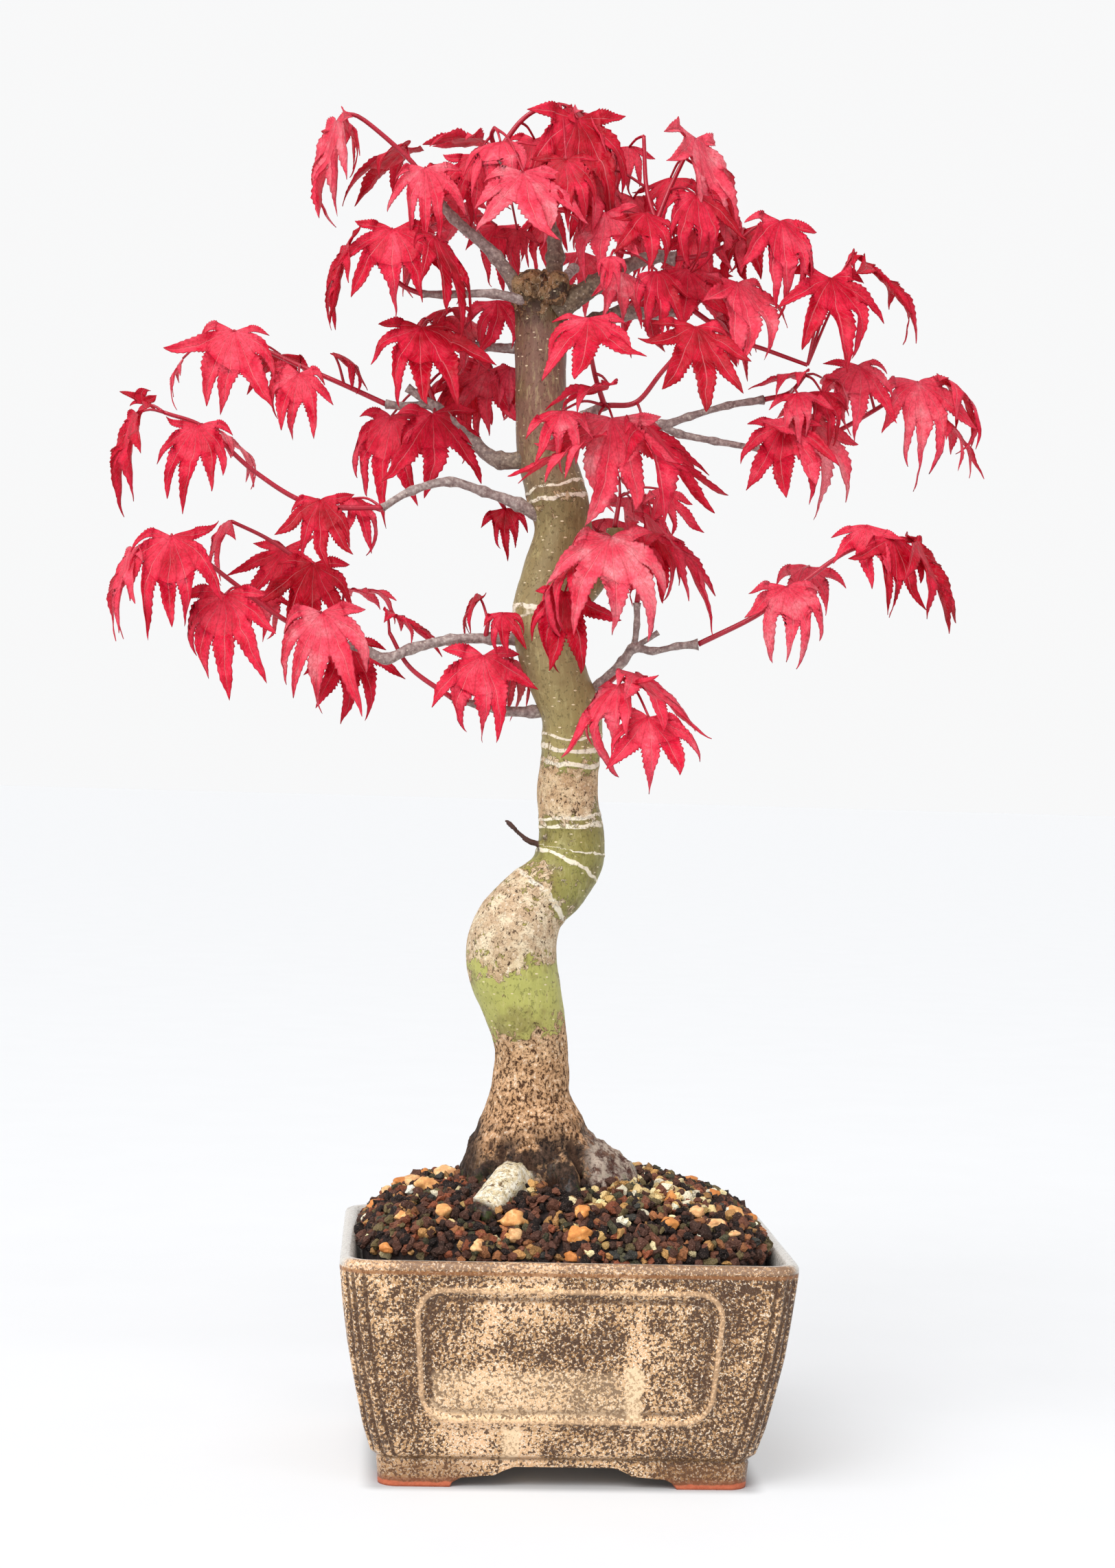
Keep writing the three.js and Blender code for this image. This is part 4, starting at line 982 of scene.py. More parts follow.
def make_stage():
    make_world()
    bpy.context.scene.view_settings.view_transform = "Standard"
    sun = bpy.data.lights.new("sun", "SUN")
    sun.energy = SUN_STRENGTH
    sun.angle = SUN_SOFTNESS
    lamp = bpy.data.objects.new("sun", sun)
    lamp.rotation_euler = Vector(SUN_FROM).to_track_quat("Z", "Y").to_euler()
    bpy.context.scene.collection.objects.link(lamp)
    for box in SOFTBOXES:
        softbox(*box)
    sides = 48
    reach = FLOOR_RADIUS / MM
    turns = [2 * math.pi * i / sides for i in range(sides)]
    ring = [(reach * math.cos(turn), reach * math.sin(turn), 0) for turn in turns]
    floor = make_object("floor", ring, [tuple(range(sides))], [floor_material()])


# ---- Pot ----------------------------------------------------------------------------------------

FACE_POINTS = (190, 150)  # along the front and back, along each side
CORNER_POINTS = 34


def pot_ring(half_width, half_depth, corner):
    """Points of one level as (x, y, outward x, outward y, face, distance along the face from its middle)."""
    points = []
    reach = (half_width - corner, half_depth - corner)
    # Right side first, then back, left and front, each face followed by its corner.
    faces = (((1, 0), (0, 1), 1), ((0, 1), (-1, 0), 0), ((-1, 0), (0, -1), 1), ((0, -1), (1, 0), 0))
    for quarter, (out, run, kind) in enumerate(faces):
        count = FACE_POINTS[kind]
        half, depth = (reach[1], half_width) if kind else (reach[0], half_depth)
        for i in range(count):
            s = -half + 2 * half * i / count
            points.append((out[0] * depth + run[0] * s, out[1] * depth + run[1] * s, *out, kind, s))
        centre = (out[0] * reach[0] + run[0] * reach[0], out[1] * reach[1] + run[1] * reach[1])
        for i in range(CORNER_POINTS):
            angle = (quarter + i / CORNER_POINTS) * math.pi / 2
            out_x, out_y = math.cos(angle), math.sin(angle)
            points.append((centre[0] + corner * out_x, centre[1] + corner * out_y, out_x, out_y, 2, 0))
    return points


def bell(distance, width):
    return math.exp(-(distance / width) ** 2)


def panel_distance(s, z, half):
    """Signed distance to the outline of the raised panel, below zero inside it."""
    half = half - 0.075 * (PANEL_MIDDLE + PANEL_HALF_HEIGHT - z)
    a = abs(s) - half + PANEL_CORNER
    b = abs(z - PANEL_MIDDLE) - PANEL_HALF_HEIGHT + PANEL_CORNER
    return math.hypot(max(a, 0), max(b, 0)) + min(max(a, b), 0) - PANEL_CORNER


def pot_relief(face, s, z, edge):
    """How far the glaze stands out: corner posts with two grooves each, and a rounded panel's ridge."""
    relief = 0.45 * bell(edge - sum(POST_GROOVES) / 2, 1.1) - 0.2
    for groove in POST_GROOVES:
        relief -= 1.1 * bell(edge - groove, 0.75)
    d = panel_distance(s, z, PANEL_HALF_WIDTHS[face])
    relief += 1.1 * bell(d, 1.25) - 0.6 * bell(d + 3.2, 1.3) - 0.4 * bell(d - 3.4, 1.4)
    if d < 0:
        relief -= 0.1 * min(1, -d / 4)
    return relief


def level_rows(profile, spacing):
    rows = []
    for (z0, w0, c0), (z1, w1, c1) in zip(profile, profile[1:]):
        count = max(1, round(math.hypot(z1 - z0, w1 - w0) / spacing))
        for i in range(count):
            t = i / count
            rows.append((z0 + (z1 - z0) * t, w0 + (w1 - w0) * t, c0 + (c1 - c0) * t))
    rows.append(profile[-1])
    return rows


def arch_height(s, kind):
    scale = SIDE_ARCH_SCALE if kind == 1 else 1
    if kind == 2:
        return 0
    return float(np.interp(abs(s) / scale, [p[0] for p in ARCH], [p[1] for p in ARCH]))


def wall_relief(x, y, z, out_x, out_y, half_width):
    """The relief of the outside at a place on it, fading out at the apron and below the lip."""
    if z <= APRON_TOP:
        return 0.0
    fade = min(1, (z - APRON_TOP) / 3) * min(1, max(0, (RIM_TOP - 2.5 - z) / 3))
    if abs(out_y) >= abs(out_x):
        return fade * pot_relief(0, x, z, half_width - abs(x))
    return fade * pot_relief(1, y, z, half_width - POT_DEPTH_STEP - abs(y))


class PotSkin:
    """The pot's one closed skin, built up as rings."""

    def __init__(self):
        self.verts = []
        self.relief = []
        self.inner = []

    def add_ring(self, z, half_width, corner, outside, lift_arch=False):
        for x, y, out_x, out_y, kind, s in pot_ring(half_width, half_width - POT_DEPTH_STEP, corner):
            relief = wall_relief(x, y, z, out_x, out_y, half_width) if outside else 0.0
            height = z
            if lift_arch:
                low = arch_height(s, kind)
                height = low + (APRON_TOP - low) * z / APRON_TOP
            push = 0.75 * relief + 0.25 * noise.noise(Vector((x, y, z)) * 0.03)
            self.verts.append((x + out_x * push, y + out_y * push, height))
            self.relief.append(relief)
            self.inner.append(0.0 if outside else 1.0)


def make_pot(material):
    """One closed skin: inner floor, inner wall, rim, outer wall, the arches' edge, and the underside."""
    skin = PotSkin()
    for z, half_width, corner in reversed(level_rows(POT_INSIDE, 6)):
        skin.add_ring(z, half_width, corner, False)
    for z, half_width, corner in reversed(level_rows(POT_OUTSIDE, 0.85)):
        skin.add_ring(z, half_width, corner, True, z < APRON_TOP)
    for z in (0, 3, 6, APRON_TOP):
        skin.add_ring(z, POT_OUTSIDE[0][1] - UNDERSIDE_INSET, 4, True, True)
    sides = sum(FACE_POINTS) * 2 + 4 * CORNER_POINTS
    rings = len(skin.verts) // sides
    last = (rings - 1) * sides
    # The apron's inner top is level with the underside of the floor.
    skin.verts[last:] = [(x, y, FLOOR_UNDERSIDE + 0.01) for x, y, _ in skin.verts[last:]]
    faces = [tuple(reversed(f)) for f in ring_faces(rings, sides)]
    faces.append(tuple(range(sides)))
    faces.append(tuple(last + i for i in reversed(range(sides))))
    values = {"relief": skin.relief, "inner": skin.inner}
    pot = make_object("pot_glazed", skin.verts, faces, [material], values)
    drill_drains(pot)
    return place_piece(pot, "glaze", "pot")


def drill_drains(pot):
    verts, faces = [], []
    for x in (-DRAIN_X, DRAIN_X):
        places = [(x, 0, FLOOR_UNDERSIDE - 3, DRAIN_RADIUS), (x, 0, FLOOR_TOP + 3, DRAIN_RADIUS)]
        more_verts, more_faces = tube(places, 32, len(verts))
        verts += more_verts
        faces += more_faces
    cutter = make_object("drain_cutter", verts, faces, [])
    cut = pot.modifiers.new("drains", "BOOLEAN")
    cut.object = cutter
    cut.operation = "DIFFERENCE"
    apply_modifiers(pot)
    bpy.data.objects.remove(cutter)


def apply_modifiers(ob):
    evaluated = ob.evaluated_get(bpy.context.evaluated_depsgraph_get())
    mesh = bpy.data.meshes.new_from_object(evaluated)
    ob.modifiers.clear()
    ob.data = mesh


# ---- Soil ---------------------------------------------------------------------------------------

def mound_share(x, y):
    return ((abs(x) / MOUND_HALF[0]) ** 4 + (abs(y) / MOUND_HALF[1]) ** 4) ** 0.25


def mound_height(x, y):
    low = float(np.interp(mound_share(x, y), [p[0] for p in MOUND], [p[1] for p in MOUND]))
    return low + 1.6 * noise.noise(Vector((x, y, 7)) * 0.06)


BED_WALL = ((11.8, 62.5), (26.3, 67.6), (57.8, 73.2), (75.3, 75.2))  # height, half width below the mound


def make_bed(material):
    """The soil's dark body under the grains: a closed skin from the pot's floor to the mound."""
    verts, sides, levels, walls = [], 96, 26, len(BED_WALL)
    for z, half_width in BED_WALL:
        for side in range(sides):
            angle = 2 * math.pi * side / sides
            verts.append((*bed_edge(angle, half_width, half_width - POT_DEPTH_STEP), z))
    for level in range(levels):
        share = 0.985 * (1 - level / levels)
        for side in range(sides):
            x, y = bed_edge(2 * math.pi * side / sides, MOUND_HALF[0] * share, MOUND_HALF[1] * share)
            verts.append((x, y, mound_height(x, y) - 1.2))
    faces = ring_faces(walls + levels, sides)
    faces.append(tuple(reversed(range(sides))))
    faces.append(tuple((walls + levels - 1) * sides + side for side in range(sides)))
    return place_piece(make_object("soil_bed", verts, faces, [material]), "grit", "soil")


def bed_edge(angle, half_width, half_depth):
    c, s = math.cos(angle), math.sin(angle)
    reach = 1 / ((abs(c) / half_width) ** 4 + (abs(s) / half_depth) ** 4) ** 0.25
    return reach * c, reach * s


def stone_shape(subdivisions):
    bm = bmesh.new()
    bmesh.ops.create_icosphere(bm, subdivisions=subdivisions, radius=1)
    points = np.array([v.co[:] for v in bm.verts])
    faces = [tuple(v.index for v in f.verts) for f in bm.faces]
    bm.free()
    return points, faces


def rough_stone(points, size, turn, seed, rough=0.35, flats=5):
    """A pebble or grain: a ball with flats knapped off it, then roughened, scaled and turned."""
    dice = random.Random(seed)
    shaped = points.copy()
    for _ in range(flats):
        way = np.array(Vector((dice.gauss(0, 1), dice.gauss(0, 1), dice.gauss(0, 1))).normalized())
        over = np.maximum(shaped @ way - dice.uniform(0.5, 0.85), 0)
        shaped -= over[:, None] * way * 0.9
    shift = Vector((dice.uniform(0, 99), 0, 0))
    bumps = [1 + rough * noise.noise(Vector(p) * 1.7 + shift) for p in shaped]
    shaped = shaped * np.array(bumps)[:, None] * np.array(size)
    return shaped @ np.array(turn.to_matrix()).T


def random_turn(dice):
    axis = Vector((dice.gauss(0, 1), dice.gauss(0, 1), dice.gauss(0, 1))).normalized()
    return Quaternion(axis, dice.uniform(0, math.pi))


def vary(code, dice, spread=0.25):
    shade = 1 + dice.uniform(-spread, spread)
    return [min(1, c * shade) for c in colour(code)[:3]] + [1]


def clear_of_wood(x, y):
    if math.hypot(x + 12, y - 1) < 20:
        return False
    return min(math.hypot(x - p[0], y - p[1]) - 0.75 * p[3] for root in ROOTS[1:2] for p in root) > 0


GRAIN_COLOURS = [
    ("#3f2a22", 26), ("#57382d", 24), ("#1f1614", 24), ("#6d4332", 18), ("#3a3a36", 6), ("#8a4c33", 11),
    ("#66583a", 8), ("#474532", 6), ("#9c6540", 8), ("#b0824f", 6),
]
PUMICE = ["#efdcaa", "#e2c68c", "#fbf0d2", "#cda768", "#c4955a"]
GRAIN_SPACING = 3.5
GRAIN_SIZES = (1.7, 1.9, 2.1, 2.4, 2.7)
WALL_GRAINS = 140
WALL_ROWS = ((0.8, 0), (0.8, -2.5), (2.6, -0.3), (4.4, 0.2), (6.4, 0.4))  # inset from the wall, lift


def pale_share(x, y):
    """How much of the soil is pale pumice: most to the right of the trunk and towards the front."""
    return 0.66 * math.exp(-((x - 29) / 25) ** 2 - ((y + 22) / 19) ** 2) + 0.03


def mound_places(dice):
    """Two jittered layers of places over the mound, the upper one with gaps."""
    rows = int(MOUND_HALF[1] / GRAIN_SPACING) + 1
    columns = int(MOUND_HALF[0] / GRAIN_SPACING) + 1
    places = []
    for layer in range(2):
        for row in range(-rows, rows + 1):
            for column in range(-columns, columns + 1):
                x = (column + dice.uniform(-0.5, 0.5) + 0.5 * layer) * GRAIN_SPACING
                y = (row + dice.uniform(-0.5, 0.5) + 0.5 * layer) * GRAIN_SPACING
                if mound_share(x, y) < 0.99 and clear_of_wood(x, y) and not (layer and dice.random() < 0.3):
                    places.append((x, y, mound_height(x, y) + 0.8 * layer))
    return places


def wall_places(dice):
    """Closed rows of places against the wall, where the mound is steep."""
    places = []
    for row, (inset, lift) in enumerate(WALL_ROWS):
        for i in range(WALL_GRAINS):
            turn = 2 * math.pi * (i + 0.5 * row) / WALL_GRAINS
            x, y = bed_edge(turn, MOUND_HALF[0] - inset, MOUND_HALF[1] - inset)
            jitter = (dice.uniform(-0.8, 0.8), dice.uniform(-0.8, 0.8))
            places.append((x + jitter[0], y + jitter[1], mound_height(x, y) + lift))
    return places


def make_grains(material):
    """Lava grains over the mound and down to the wall, with pale pumice to the right of the trunk."""
    dice = random.Random(5)
    ball, ball_faces = stone_shape(2)
    codes = [code for code, weight in GRAIN_COLOURS for _ in range(weight)]
    verts, faces, tones = [], [], []
    for x, y, z in mound_places(dice) + wall_places(dice):
        size = dice.choice(GRAIN_SIZES) * (1.3 if dice.random() < 0.07 else 1)
        sizes = [size * dice.uniform(*share) for share in ((0.85, 1.2), (0.7, 1.0), (0.6, 0.95))]
        code = dice.choice(PUMICE) if dice.random() < pale_share(x, y) else dice.choice(codes)
        stone = rough_stone(ball, sizes, random_turn(dice), dice.random(), 0.55, 7)
        first = len(verts) * len(ball)
        verts.append(stone + np.array((x, y, z + dice.uniform(-0.5, 0.9))))
        faces += [tuple(first + i for i in f) for f in ball_faces]
        tones += [vary(code, dice, 0.35)] * len(ball)
    grains = make_object("soil_grains", np.vstack(verts), faces, [material], {"tone": tones}, smooth=False)
    return place_piece(grains, "grit")


# Small pebbles: [x, y, half size in mm].
SMALL_PEBBLES = [
    (-46, -44, 3.6), (-60, -38, 3.2), (-33, -56, 3), (-20, -53, 3.4), (-66, -50, 2.6), (-44, 6, 4.2),
    (-57, 8, 4), (-51, -6, 4.6), (-34, 16, 4), (-70, 2, 3.2), (-28, -4, 3.2), (5, -46, 3.2), (36, -48, 3),
    (46, -40, 3.4), (62, -26, 3.6), (70, -12, 3.4), (38, -30, 3.2), (56, -8, 3), (0, -58, 2.8),
    (-26, -30, 2.8), (60, -44, 2.6), (30, 30, 3.6), (-20, 38, 3.8), (8, 46, 3.4), (-52, 36, 3.6),
    (52, 28, 3.4), (-66, 24, 3), (40, 44, 3.2), (-36, 50, 3),
]
PEBBLE_TONES = ["#f0b672", "#e39a50", "#d98a44", "#f4c68c", "#dd8f4a"]


def make_pebbles(material):
    dice = random.Random(8)
    ball, ball_faces = stone_shape(4)
    for i, (x, y, z, length, width, height, turn) in enumerate(PEBBLES):
        upright = Quaternion((0, 0, 1), math.radians(turn))
        stone = rough_stone(ball, (length, width, height), upright, i, 0.3, 7)
        tone = vary(PEBBLE_TONES[i], dice, 0.08)
        pebble = make_object(f"pebble_shaped_{i + 1}", stone + np.array((x, y, z)), ball_faces, [material],
                             {"tone": [tone] * len(ball)})
        place_piece(pebble, "pebble", f"pebble_{i + 1}")
    ball, ball_faces = stone_shape(3)
    verts, faces, tones = [], [], []
    for i, (x, y, size) in enumerate(SMALL_PEBBLES):
        sizes = [size * dice.uniform(*share) for share in ((1, 1.4), (0.8, 1), (0.7, 0.9))]
        stone = rough_stone(ball, sizes, Quaternion((0, 0, 1), dice.uniform(0, 3)), i + 50, 0.35, 7)
        first = i * len(ball)
        verts.append(stone + np.array((x, y, mound_height(x, y) + size * 0.45)))
        faces += [tuple(first + k for k in f) for f in ball_faces]
        tones += [vary(dice.choice(PEBBLE_TONES), dice, 0.1)] * len(ball)
    small = make_object("pebbles_small", np.vstack(verts), faces, [material], {"tone": tones})
    place_piece(small, "pebble")


# ---- Trunk and branches -------------------------------------------------------------------------

# Broken stubs and healed lumps on the trunk's cut top, and bulges of the root flare.
TOP_KNOTS = [
    [[-16, -2, 430, 5], [-21, -7, 438, 3]],
    [[-8, -6, 431, 5.5], [-5, -12, 440, 3.4]],
    [[-13, 2, 434, 8], [-14, -1, 442, 5]],
    [[-3, 2, 430, 4], [2, -5, 436, 2.6]],
    [[-18, 4, 432, 5], [-19, 6, 441, 3.2]],
]
ROOT_LUMPS = [
    [[-25, -8, 119, 6], [-29, -11, 108, 7], [-32, -12, 94, 6.5]],
    [[3, -12, 112, 5], [10, -18, 104, 5.5], [14, -22, 92, 5]],
    [[6, 0, 112, 7], [17, -2, 104, 7], [27, -4, 92, 6]],
    [[-3, -18, 110, 4.5], [0, -25, 100, 4.5], [1, -28, 90, 5]],
]

HOLLOW_ROUNDS = 30
HOLLOW_DEPTHS = (0.12, 0.45)  # mm below the smoothed skin where painted shade begins to show, and where it is full


def trunk_along(points):
    """For each point in mm, the height along the trunk's middle line that it lies beside."""
    line = np.array(TRUNK, float)[:, :3]
    best = np.full(len(points), 1e9)
    along = np.zeros(len(points))
    for a, b in zip(line, line[1:]):
        run = b - a
        t = np.clip((points - a) @ run / (run @ run), 0, 1)
        away = np.linalg.norm(points - (a + t[:, None] * run), axis=1)
        nearer = away < best
        best[nearer] = away[nearer]
        along[nearer] = (a[2] + t * run[2])[nearer]
    return along


def make_trunk(material):
    """The trunk, its roots and its stubs, fused into one skin, then roughened as bark."""
    verts, faces = [], []
    limbs = [(TRUNK, 40, 2.5), (CUT_ROOT, 20, 2), (DEAD_STUB, 18, 2), (DEAD_TWIG, 12, 1.5)]
    limbs += [(root, 24, 2.5) for root in ROOTS + TOP_KNOTS + ROOT_LUMPS]
    for places, sides, spacing in limbs:
        more_verts, more_faces = tube(smooth_places(places, spacing), sides, len(verts))
        verts += more_verts
        faces += more_faces
    trunk = make_object("trunk_bark", verts, faces, [material])
    remesh = trunk.modifiers.new("fuse", "REMESH")
    remesh.mode = "VOXEL"
    remesh.voxel_size = 0.85 * MM
    remesh.use_smooth_shade = True
    soften = trunk.modifiers.new("soften", "SMOOTH")
    soften.iterations = 7
    apply_modifiers(trunk)
    shape_bark(trunk)
    return place_piece(trunk, "bark", "trunk")


def hollowness(mesh, points, normals):
    """For each point, from 0 to 1, how far it lies below the skin around it."""
    edges = np.empty(2 * len(mesh.edges), int)
    mesh.edges.foreach_get("vertices", edges)
    near, far = edges[0::2], edges[1::2]
    links = np.bincount(np.concatenate((near, far)), minlength=len(points))
    mean = points.copy()
    count = len(points)
    for _ in range(HOLLOW_ROUNDS):
        sums = [np.bincount(near, mean[far, axis], count) + np.bincount(far, mean[near, axis], count)
                for axis in range(3)]
        mean = np.stack(sums, 1) / links[:, None]
    depth = np.einsum("ij,ij->i", mean - points, normals)
    return np.clip((depth - HOLLOW_DEPTHS[0]) / (HOLLOW_DEPTHS[1] - HOLLOW_DEPTHS[0]), 0, 1)


def distance_to(places, points):
    """For each point, the distance to the nearest of the places."""
    return np.min([np.linalg.norm(points - place, axis=1) for place in places], axis=0)


def cut_share(points):
    """For each point, from 0 to 1, how far it belongs to the sawn face along the cut root."""
    beside = distance_to(smooth_places(CUT_ROOT, 2)[3:-2, :3], points)
    from_end = distance_to(np.array(CUT_ROOT, float)[-1:, :3], points)
    return np.clip((9.5 - beside) / 2, 0, 1) * (points[:, 1] < -24) * np.clip((from_end - 7) / 2, 0, 1)


def bark_push(points, along):
    """For each point, how far in mm the bark stands out: rough in the cork, rougher at root and top."""
    push = np.empty(len(points))
    for i, (x, y, z) in enumerate(points):
        grain = noise.fractal(Vector((x * 0.35, y * 0.35, z * 0.08)), 1, 2, 3)
        lump = noise.noise(Vector((x, y, z)) * 0.11)
        root_zone = min(1, max(0, (124 - along[i]) / 14))
        top_zone = min(1, max(0, (z - 426) / 6))
        cork_zone = 1 if 112 < along[i] < 156 else 0.35
        push[i] = grain * (0.45 * cork_zone + 0.9 * root_zone + 1.2 * top_zone) + 0.5 * lump * (1 + root_zone)
    rings = sum(np.exp(-((along - at) / (half * 1.3)) ** 2) for at, half in BARK_RINGS)
    return push + 0.3 * rings


def shape_bark(trunk):
    """Roughens the skin and marks where it is cut or dead, and how deep its hollows lie, for painted shade.
    """
    mesh = trunk.data
    points = np.empty(3 * len(mesh.vertices))
    normals = np.empty(3 * len(mesh.vertices))
    mesh.vertices.foreach_get("co", points)
    mesh.vertices.foreach_get("normal", normals)
    points = points.reshape(-1, 3) / MM
    normals = normals.reshape(-1, 3)
    along = trunk_along(points)
    cut = cut_share(points)
    push = bark_push(points, along) * (1 - 0.8 * cut)
    rough = points + normals * push[:, None]
    mesh.vertices.foreach_set("co", (rough * MM).ravel())
    add_attribute(mesh, "along", along)
    add_attribute(mesh, "cut", cut)
    # Painted shade: points that lie deep below the smoothed skin are darkened in the bark material.
    add_attribute(mesh, "cavity_shade", hollowness(mesh, rough, normals) * (1 - cut))
    from_twig = distance_to(smooth_places(DEAD_TWIG, 1)[:, :3], points)
    add_attribute(mesh, "dead", np.clip(3.2 - from_twig, 0, 1) * (points[:, 0] < -11))
    mesh.update()


def make_branch(name, limb_list, material):
    """A woody side branch: a slightly knobbly tube for each limb, swollen at its buds and joints."""
    verts, faces, aged = [], [], []
    for places in limb_list:
        steps = smooth_places(places, 1.2)
        marks = [np.array(p[:3], float) for p in places[1:]]

        def swell(ring, angle, centre, marks=marks):
            knob = max(math.exp(-((np.linalg.norm(np.array(centre) - mark)) / 1.6) ** 2) for mark in marks)
            return 1 + 0.28 * knob + 0.14 * noise.noise(Vector(centre) * 0.5 + Vector((angle, 0, 0)))

        more_verts, more_faces = tube(steps, BRANCH_SIDES, len(verts), swell)
        verts += more_verts
        faces += more_faces
        thick = np.repeat(steps[:, 3], BRANCH_SIDES)
        aged += list(np.clip((thick - 2.2) / 1.4, 0, 1))
    branch = make_object(name.replace("branch", "wood"), verts, faces, [material], {"aged": aged})
    return place_piece(branch, "twig", name)


# ---- Leaves -------------------------------------------------------------------------------------

def leaf_axes(compass, hang):
    turn, dip = math.radians(compass), math.radians(hang)
    level = Vector((math.cos(turn), math.sin(turn), 0))
    along = level * math.cos(dip) + DOWN * math.sin(dip)
    face = level * math.sin(dip) - DOWN * math.cos(dip)
    return np.array(along), np.array(face.cross(along)), np.array(face)


class Blade:
    """One leaf blade: turns a flat place on it into a point in space, drooping under its weight."""

    def __init__(self, place, dice):
        x, y, z, compass, hang, self.length = place
        self.length *= LEAF_FULLNESS
        self.palm = np.array((x, y, z), float)
        self.along, self.across, self.face = leaf_axes(compass, hang)
        self.droop = LEAF_DROOP * dice.choice((0.6, 0.9, 1.2, 1.5, 1.8))
        self.lobes = LARGE_LOBES if self.length >= LARGE_LEAF else SMALL_LOBES

    def point(self, angle, reach, lift, extra_bend):
        flat = self.along * math.cos(angle) + self.across * math.sin(angle)
        down = np.array(DOWN)
        sag = down - flat * (down @ flat)
        size = np.linalg.norm(sag)
        bend = max(1e-4, self.droop * size * reach / self.length + extra_bend)
        radius = reach / bend
        side = sag / max(size, 1e-6)
        spot = self.palm + flat * radius * math.sin(bend) + side * radius * (1 - math.cos(bend))
        tilt = self.face * math.cos(bend) - flat * math.sin(bend) * (1 if size > 0.05 else 0)
        return spot + tilt * lift


def lobe_width(s, notch_width, length, plump):
    """Half width of a lobe's free part, from its notches at 0 to its tip at 1."""
    return notch_width * (1 - s) ** 1.15 + plump * length * s ** 0.8 * (1 - s)


def lobe_edge(row, beside, notch, length, plump):
    """Where an edge of a lobe is at this row: how far ahead on the lobe, and how far out to its side."""
    if row <= FUSED_ROWS:
        reach = notch * max(row, PALM_ROW) / FUSED_ROWS
        return reach * math.cos(beside), reach * math.sin(beside)
    s = (row - FUSED_ROWS) / FREE_ROWS
    out, start = notch * math.sin(beside), notch * math.cos(beside)
    tooth = 1 if (row - FUSED_ROWS) % 2 else -1
    width = lobe_width(s, abs(out), length, plump) * (1 + TOOTH_DEPTH * tooth * (1 - s) ** 0.3)
    ahead = start + (length - start) * s + TOOTH_RAKE * length * tooth * (1 - s)
    return ahead, math.copysign(max(width, 0.05), out)


class Lobe:
    """One lobe of a blade, with its own plumpness, swing, curl and twist."""

    def __init__(self, angle, length, edges, dice):
        self.angle = angle
        self.length = length
        self.edges = edges  # for each side, the angle beside the lobe's middle and the notch's reach
        self.plump = dice.uniform(0.16, 0.25)
        self.swing = dice.uniform(-0.26, 0.26)
        self.curl = dice.uniform(-0.45, 0.7)
        self.twist = dice.uniform(-0.7, 0.7)

    def middle(self, row, sides):
        if row > FUSED_ROWS:
            return (sides[0][0] + sides[1][0]) / 2
        return (self.edges[0][1] + self.edges[1][1]) / 2 * max(row, PALM_ROW) / FUSED_ROWS

    def row_places(self, row, fold):
        """Across one row: [angle on the blade, reach, lift off it, extra bend]."""
        sides = [lobe_edge(row, beside, notch, self.length, self.plump) for beside, notch in self.edges]
        middle = self.middle(row, sides)
        share = max(0, row - FUSED_ROWS) / FREE_ROWS
        for column in ACROSS:
            side = sides[0] if column < 0 else sides[1]
            ahead = middle + (side[0] - middle) * abs(column)
            out = side[1] * abs(column)
            reach = math.hypot(ahead, out)
            spread = self.angle + math.atan2(out, ahead) + self.swing * share ** 1.5
            lift = fold * abs(out) * min(1, 0.3 + share * 2) + self.twist * share * out
            if row <= FUSED_ROWS:
                lift = -0.05 * (1 - abs(column)) * reach
            yield spread, reach, lift, self.curl * share * share


def blade_lobes(blade, dice):
    """The lobes side by side. Each notch between two is a share of the shorter one's length."""
    angles = [math.radians(a + dice.uniform(-8, 8)) for a, _ in blade.lobes]
    lengths = [share * blade.length * dice.uniform(0.84, 1.05) for _, share in blade.lobes]
    half_spread = (angles[1] - angles[0]) / 2
    bounds = [(a + b) / 2 for a, b in zip(angles, angles[1:])]
    bounds = [angles[0] - half_spread] + bounds + [angles[-1] + half_spread]
    padded = [lengths[0]] + lengths + [lengths[-1]]
    shorter = [min(pair) for pair in zip(padded, padded[1:])]
    notches = [NOTCH_REACH * length * dice.uniform(0.85, 1.15) for length in shorter]
    tint = dice.uniform(0.28, 0.92)
    fold = dice.uniform(0.35, 0.9)
    lobes = []
    for i, (angle, length) in enumerate(zip(angles, lengths)):
        edges = [(bounds[k] - angle, notches[k]) for k in (i, i + 1)]
        lobes.append(Lobe(angle, length, edges, dice))
    return lobes, tint, fold


def blade_mesh(place, dice):
    """Points, faces and colour values of one blade's single sheet."""
    blade = Blade(place, dice)
    lobes, tint, fold = blade_lobes(blade, dice)
    rows, wide = FUSED_ROWS + FREE_ROWS, len(ACROSS)
    verts, faces, values = [], [], {"across": [], "along": [], "tint": []}
    for lobe in lobes:
        first = len(verts)
        for row in range(rows + 1):
            for column, (spread, reach, lift, bend) in zip(ACROSS, lobe.row_places(row, fold)):
                verts.append(blade.point(spread, reach, lift, bend))
                values["across"].append(abs(column))
                values["along"].append(reach / lobe.length)
                values["tint"].append(tint + 0.2 * lobe.curl)
        corners = [first + row * wide + column for row in range(rows) for column in range(wide - 1)]
        faces += [(a, a + 1, a + wide + 1, a + wide) for a in corners]
    return verts, faces, values


def crumple(verts, seed):
    shift = Vector((seed, 0, 0))
    return [np.array(v) + CRUMPLE * np.array(noise.noise_vector(Vector(v) * 0.16 + shift)) for v in verts]


def nearest_place(stem, leaf):
    return min(stem, key=lambda place: math.dist(place, leaf[:3]))


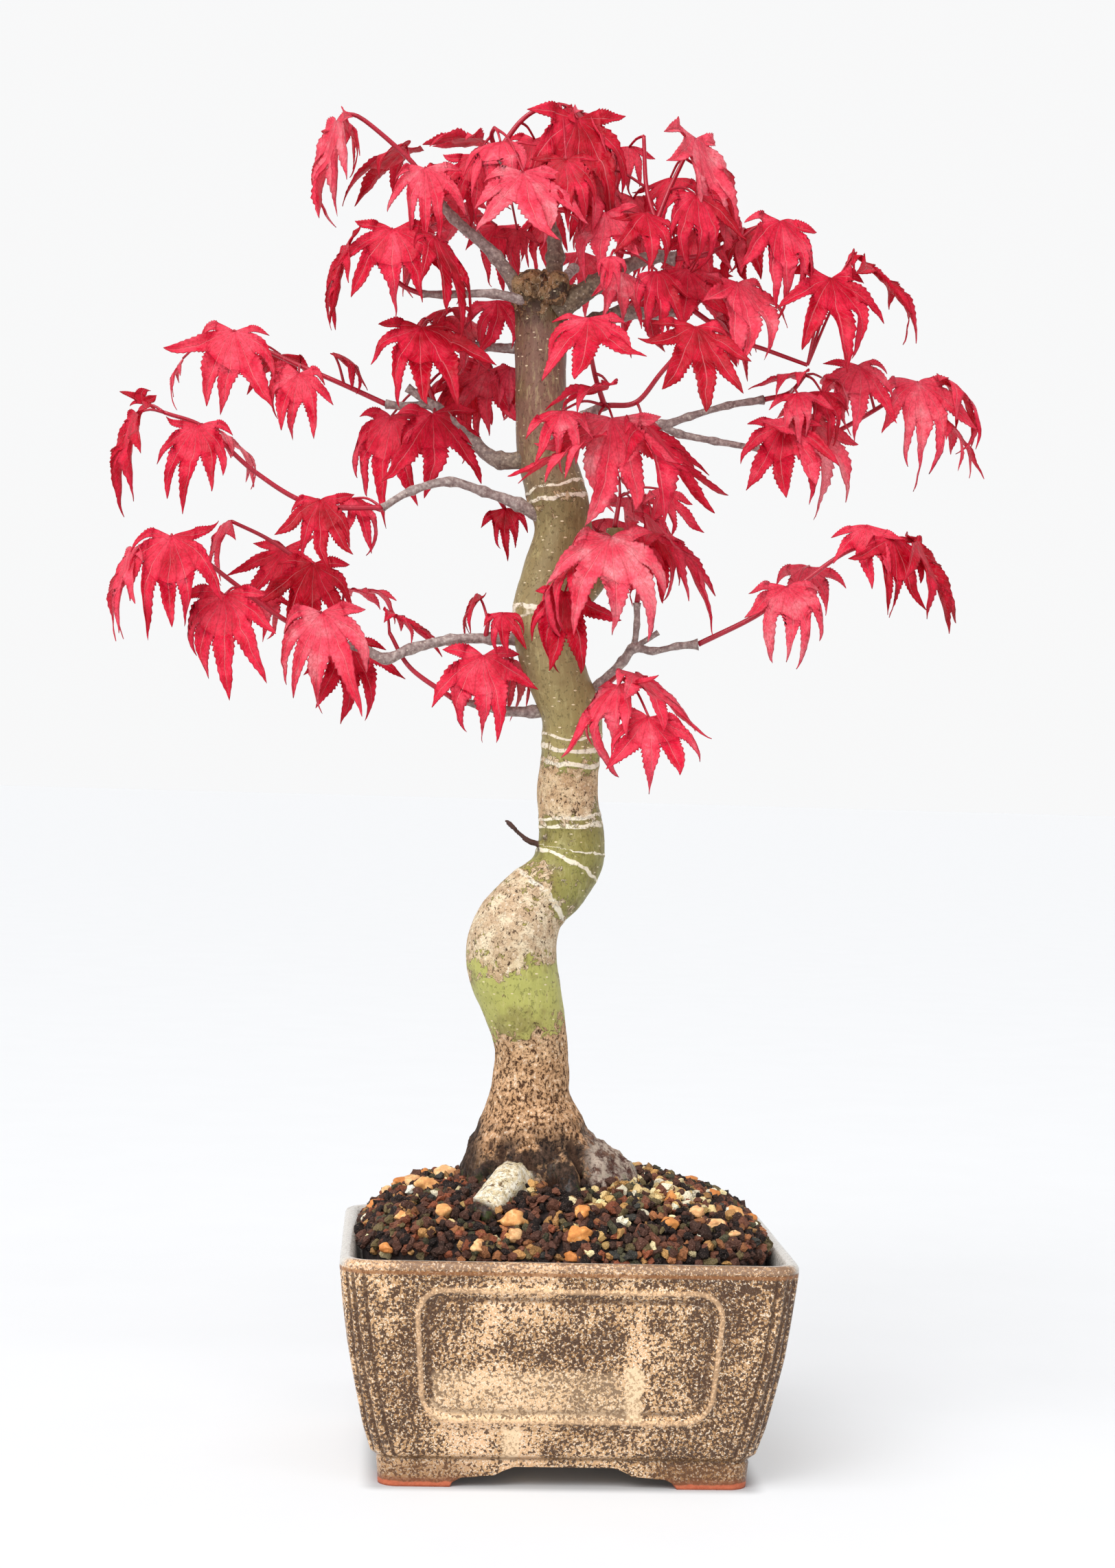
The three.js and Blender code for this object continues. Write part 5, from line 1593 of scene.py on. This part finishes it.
def stalk_places(foot, palm, radius):
    """A leaf stalk: leaves its stem rising a little, then bends down to the blade."""
    a, b = Vector(foot), Vector(palm)
    middle = (a + b) / 2 + Vector((0, 0, 0.12 * (b - a).length))
    return smooth_places([(*a, radius * 1.25), (*middle, radius), (*b, radius * 0.9)], 1.6)


def solid_sheet(verts, faces, attributes):
    """The sheet given its thickness, as a closed mesh."""
    sheet = make_object("sheet", verts, faces, [], attributes)
    bm = bmesh.new()
    bm.from_mesh(sheet.data)
    bmesh.ops.remove_doubles(bm, verts=bm.verts, dist=0.04 * MM)
    bm.to_mesh(sheet.data)
    bm.free()
    thick = sheet.modifiers.new("thick", "SOLIDIFY")
    thick.thickness = LEAF_THICKNESS * MM
    thick.offset = 0
    apply_modifiers(sheet)
    mesh = sheet.data
    bpy.data.objects.remove(sheet)
    return mesh


def shoot_wood(shoot):
    """Points and faces of the stem and of the leaf stalks."""
    stem = shoot["stem"]
    count = len(stem) - 1
    radii = [STEM_RADII[0] + (STEM_RADII[1] - STEM_RADII[0]) * i / count for i in range(count + 1)]
    verts, faces = tube(smooth_places([(*p, r) for p, r in zip(stem, radii)], 1.5), 8)
    for leaf in shoot["leaves"]:
        places = stalk_places(nearest_place(stem, leaf), leaf[:3], STALK_RADIUS)
        more_verts, more_faces = tube(places, 7, len(verts))
        verts += more_verts
        faces += more_faces
    return verts, faces


def shoot_blades(shoot, dice):
    """The mesh of all of the shoot's blades."""
    verts, faces, values = [], [], {"across": [], "along": [], "tint": []}
    for leaf in shoot["leaves"]:
        blade_verts, blade_faces, blade_values = blade_mesh(leaf, dice)
        first = len(verts)
        verts += crumple(blade_verts, dice.uniform(0, 50))
        faces += [tuple(first + i for i in f) for f in blade_faces]
        for key in values:
            values[key] += blade_values[key]
    return solid_sheet(verts, faces, values)


def make_shoot(name, shoot, leaf_finish, stem_finish, seed):
    """A leafy shoot as one piece: its stem, its leaf stalks and its blades."""
    bm = bmesh.new()
    bm.from_mesh(shoot_blades(shoot, random.Random(seed)))
    blade_faces = len(bm.faces)
    wood = make_object("wood", *shoot_wood(shoot), [])
    bm.from_mesh(wood.data)
    bpy.data.objects.remove(wood)
    bm.faces.ensure_lookup_table()
    for face in bm.faces[blade_faces:]:
        face.material_index = 1
    mesh = bpy.data.meshes.new(name)
    bm.to_mesh(mesh)
    bm.free()
    mesh.materials.append(leaf_finish)
    mesh.materials.append(stem_finish)
    mesh.polygons.foreach_set("use_smooth", [True] * len(mesh.polygons))
    ob = bpy.data.objects.new(name.replace("shoot", "leaves"), mesh)
    bpy.context.scene.collection.objects.link(ob)
    return place_piece(ob, "leaf", name)


# ---- Assembly -----------------------------------------------------------------------------------

make_camera()
make_stage()
make_pot(glaze_material())
make_bed(bed_material())
make_grains(grit_material())
make_pebbles(pebble_material())
make_trunk(bark_material())
twig = twig_material()
for name, limb_list in BRANCHES.items():
    make_branch(name, limb_list, twig)
leaf_finish = leaf_material()
stem_finish = stem_material()
for number, (name, shoot) in enumerate(SHOOTS.items()):
    make_shoot(name, shoot, leaf_finish, stem_finish, number + 1)
net = net_material()
for name in ("drain_mesh_left", "drain_mesh_right"):
    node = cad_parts[name]
    node.data.materials.clear()
    node.data.materials.append(net)
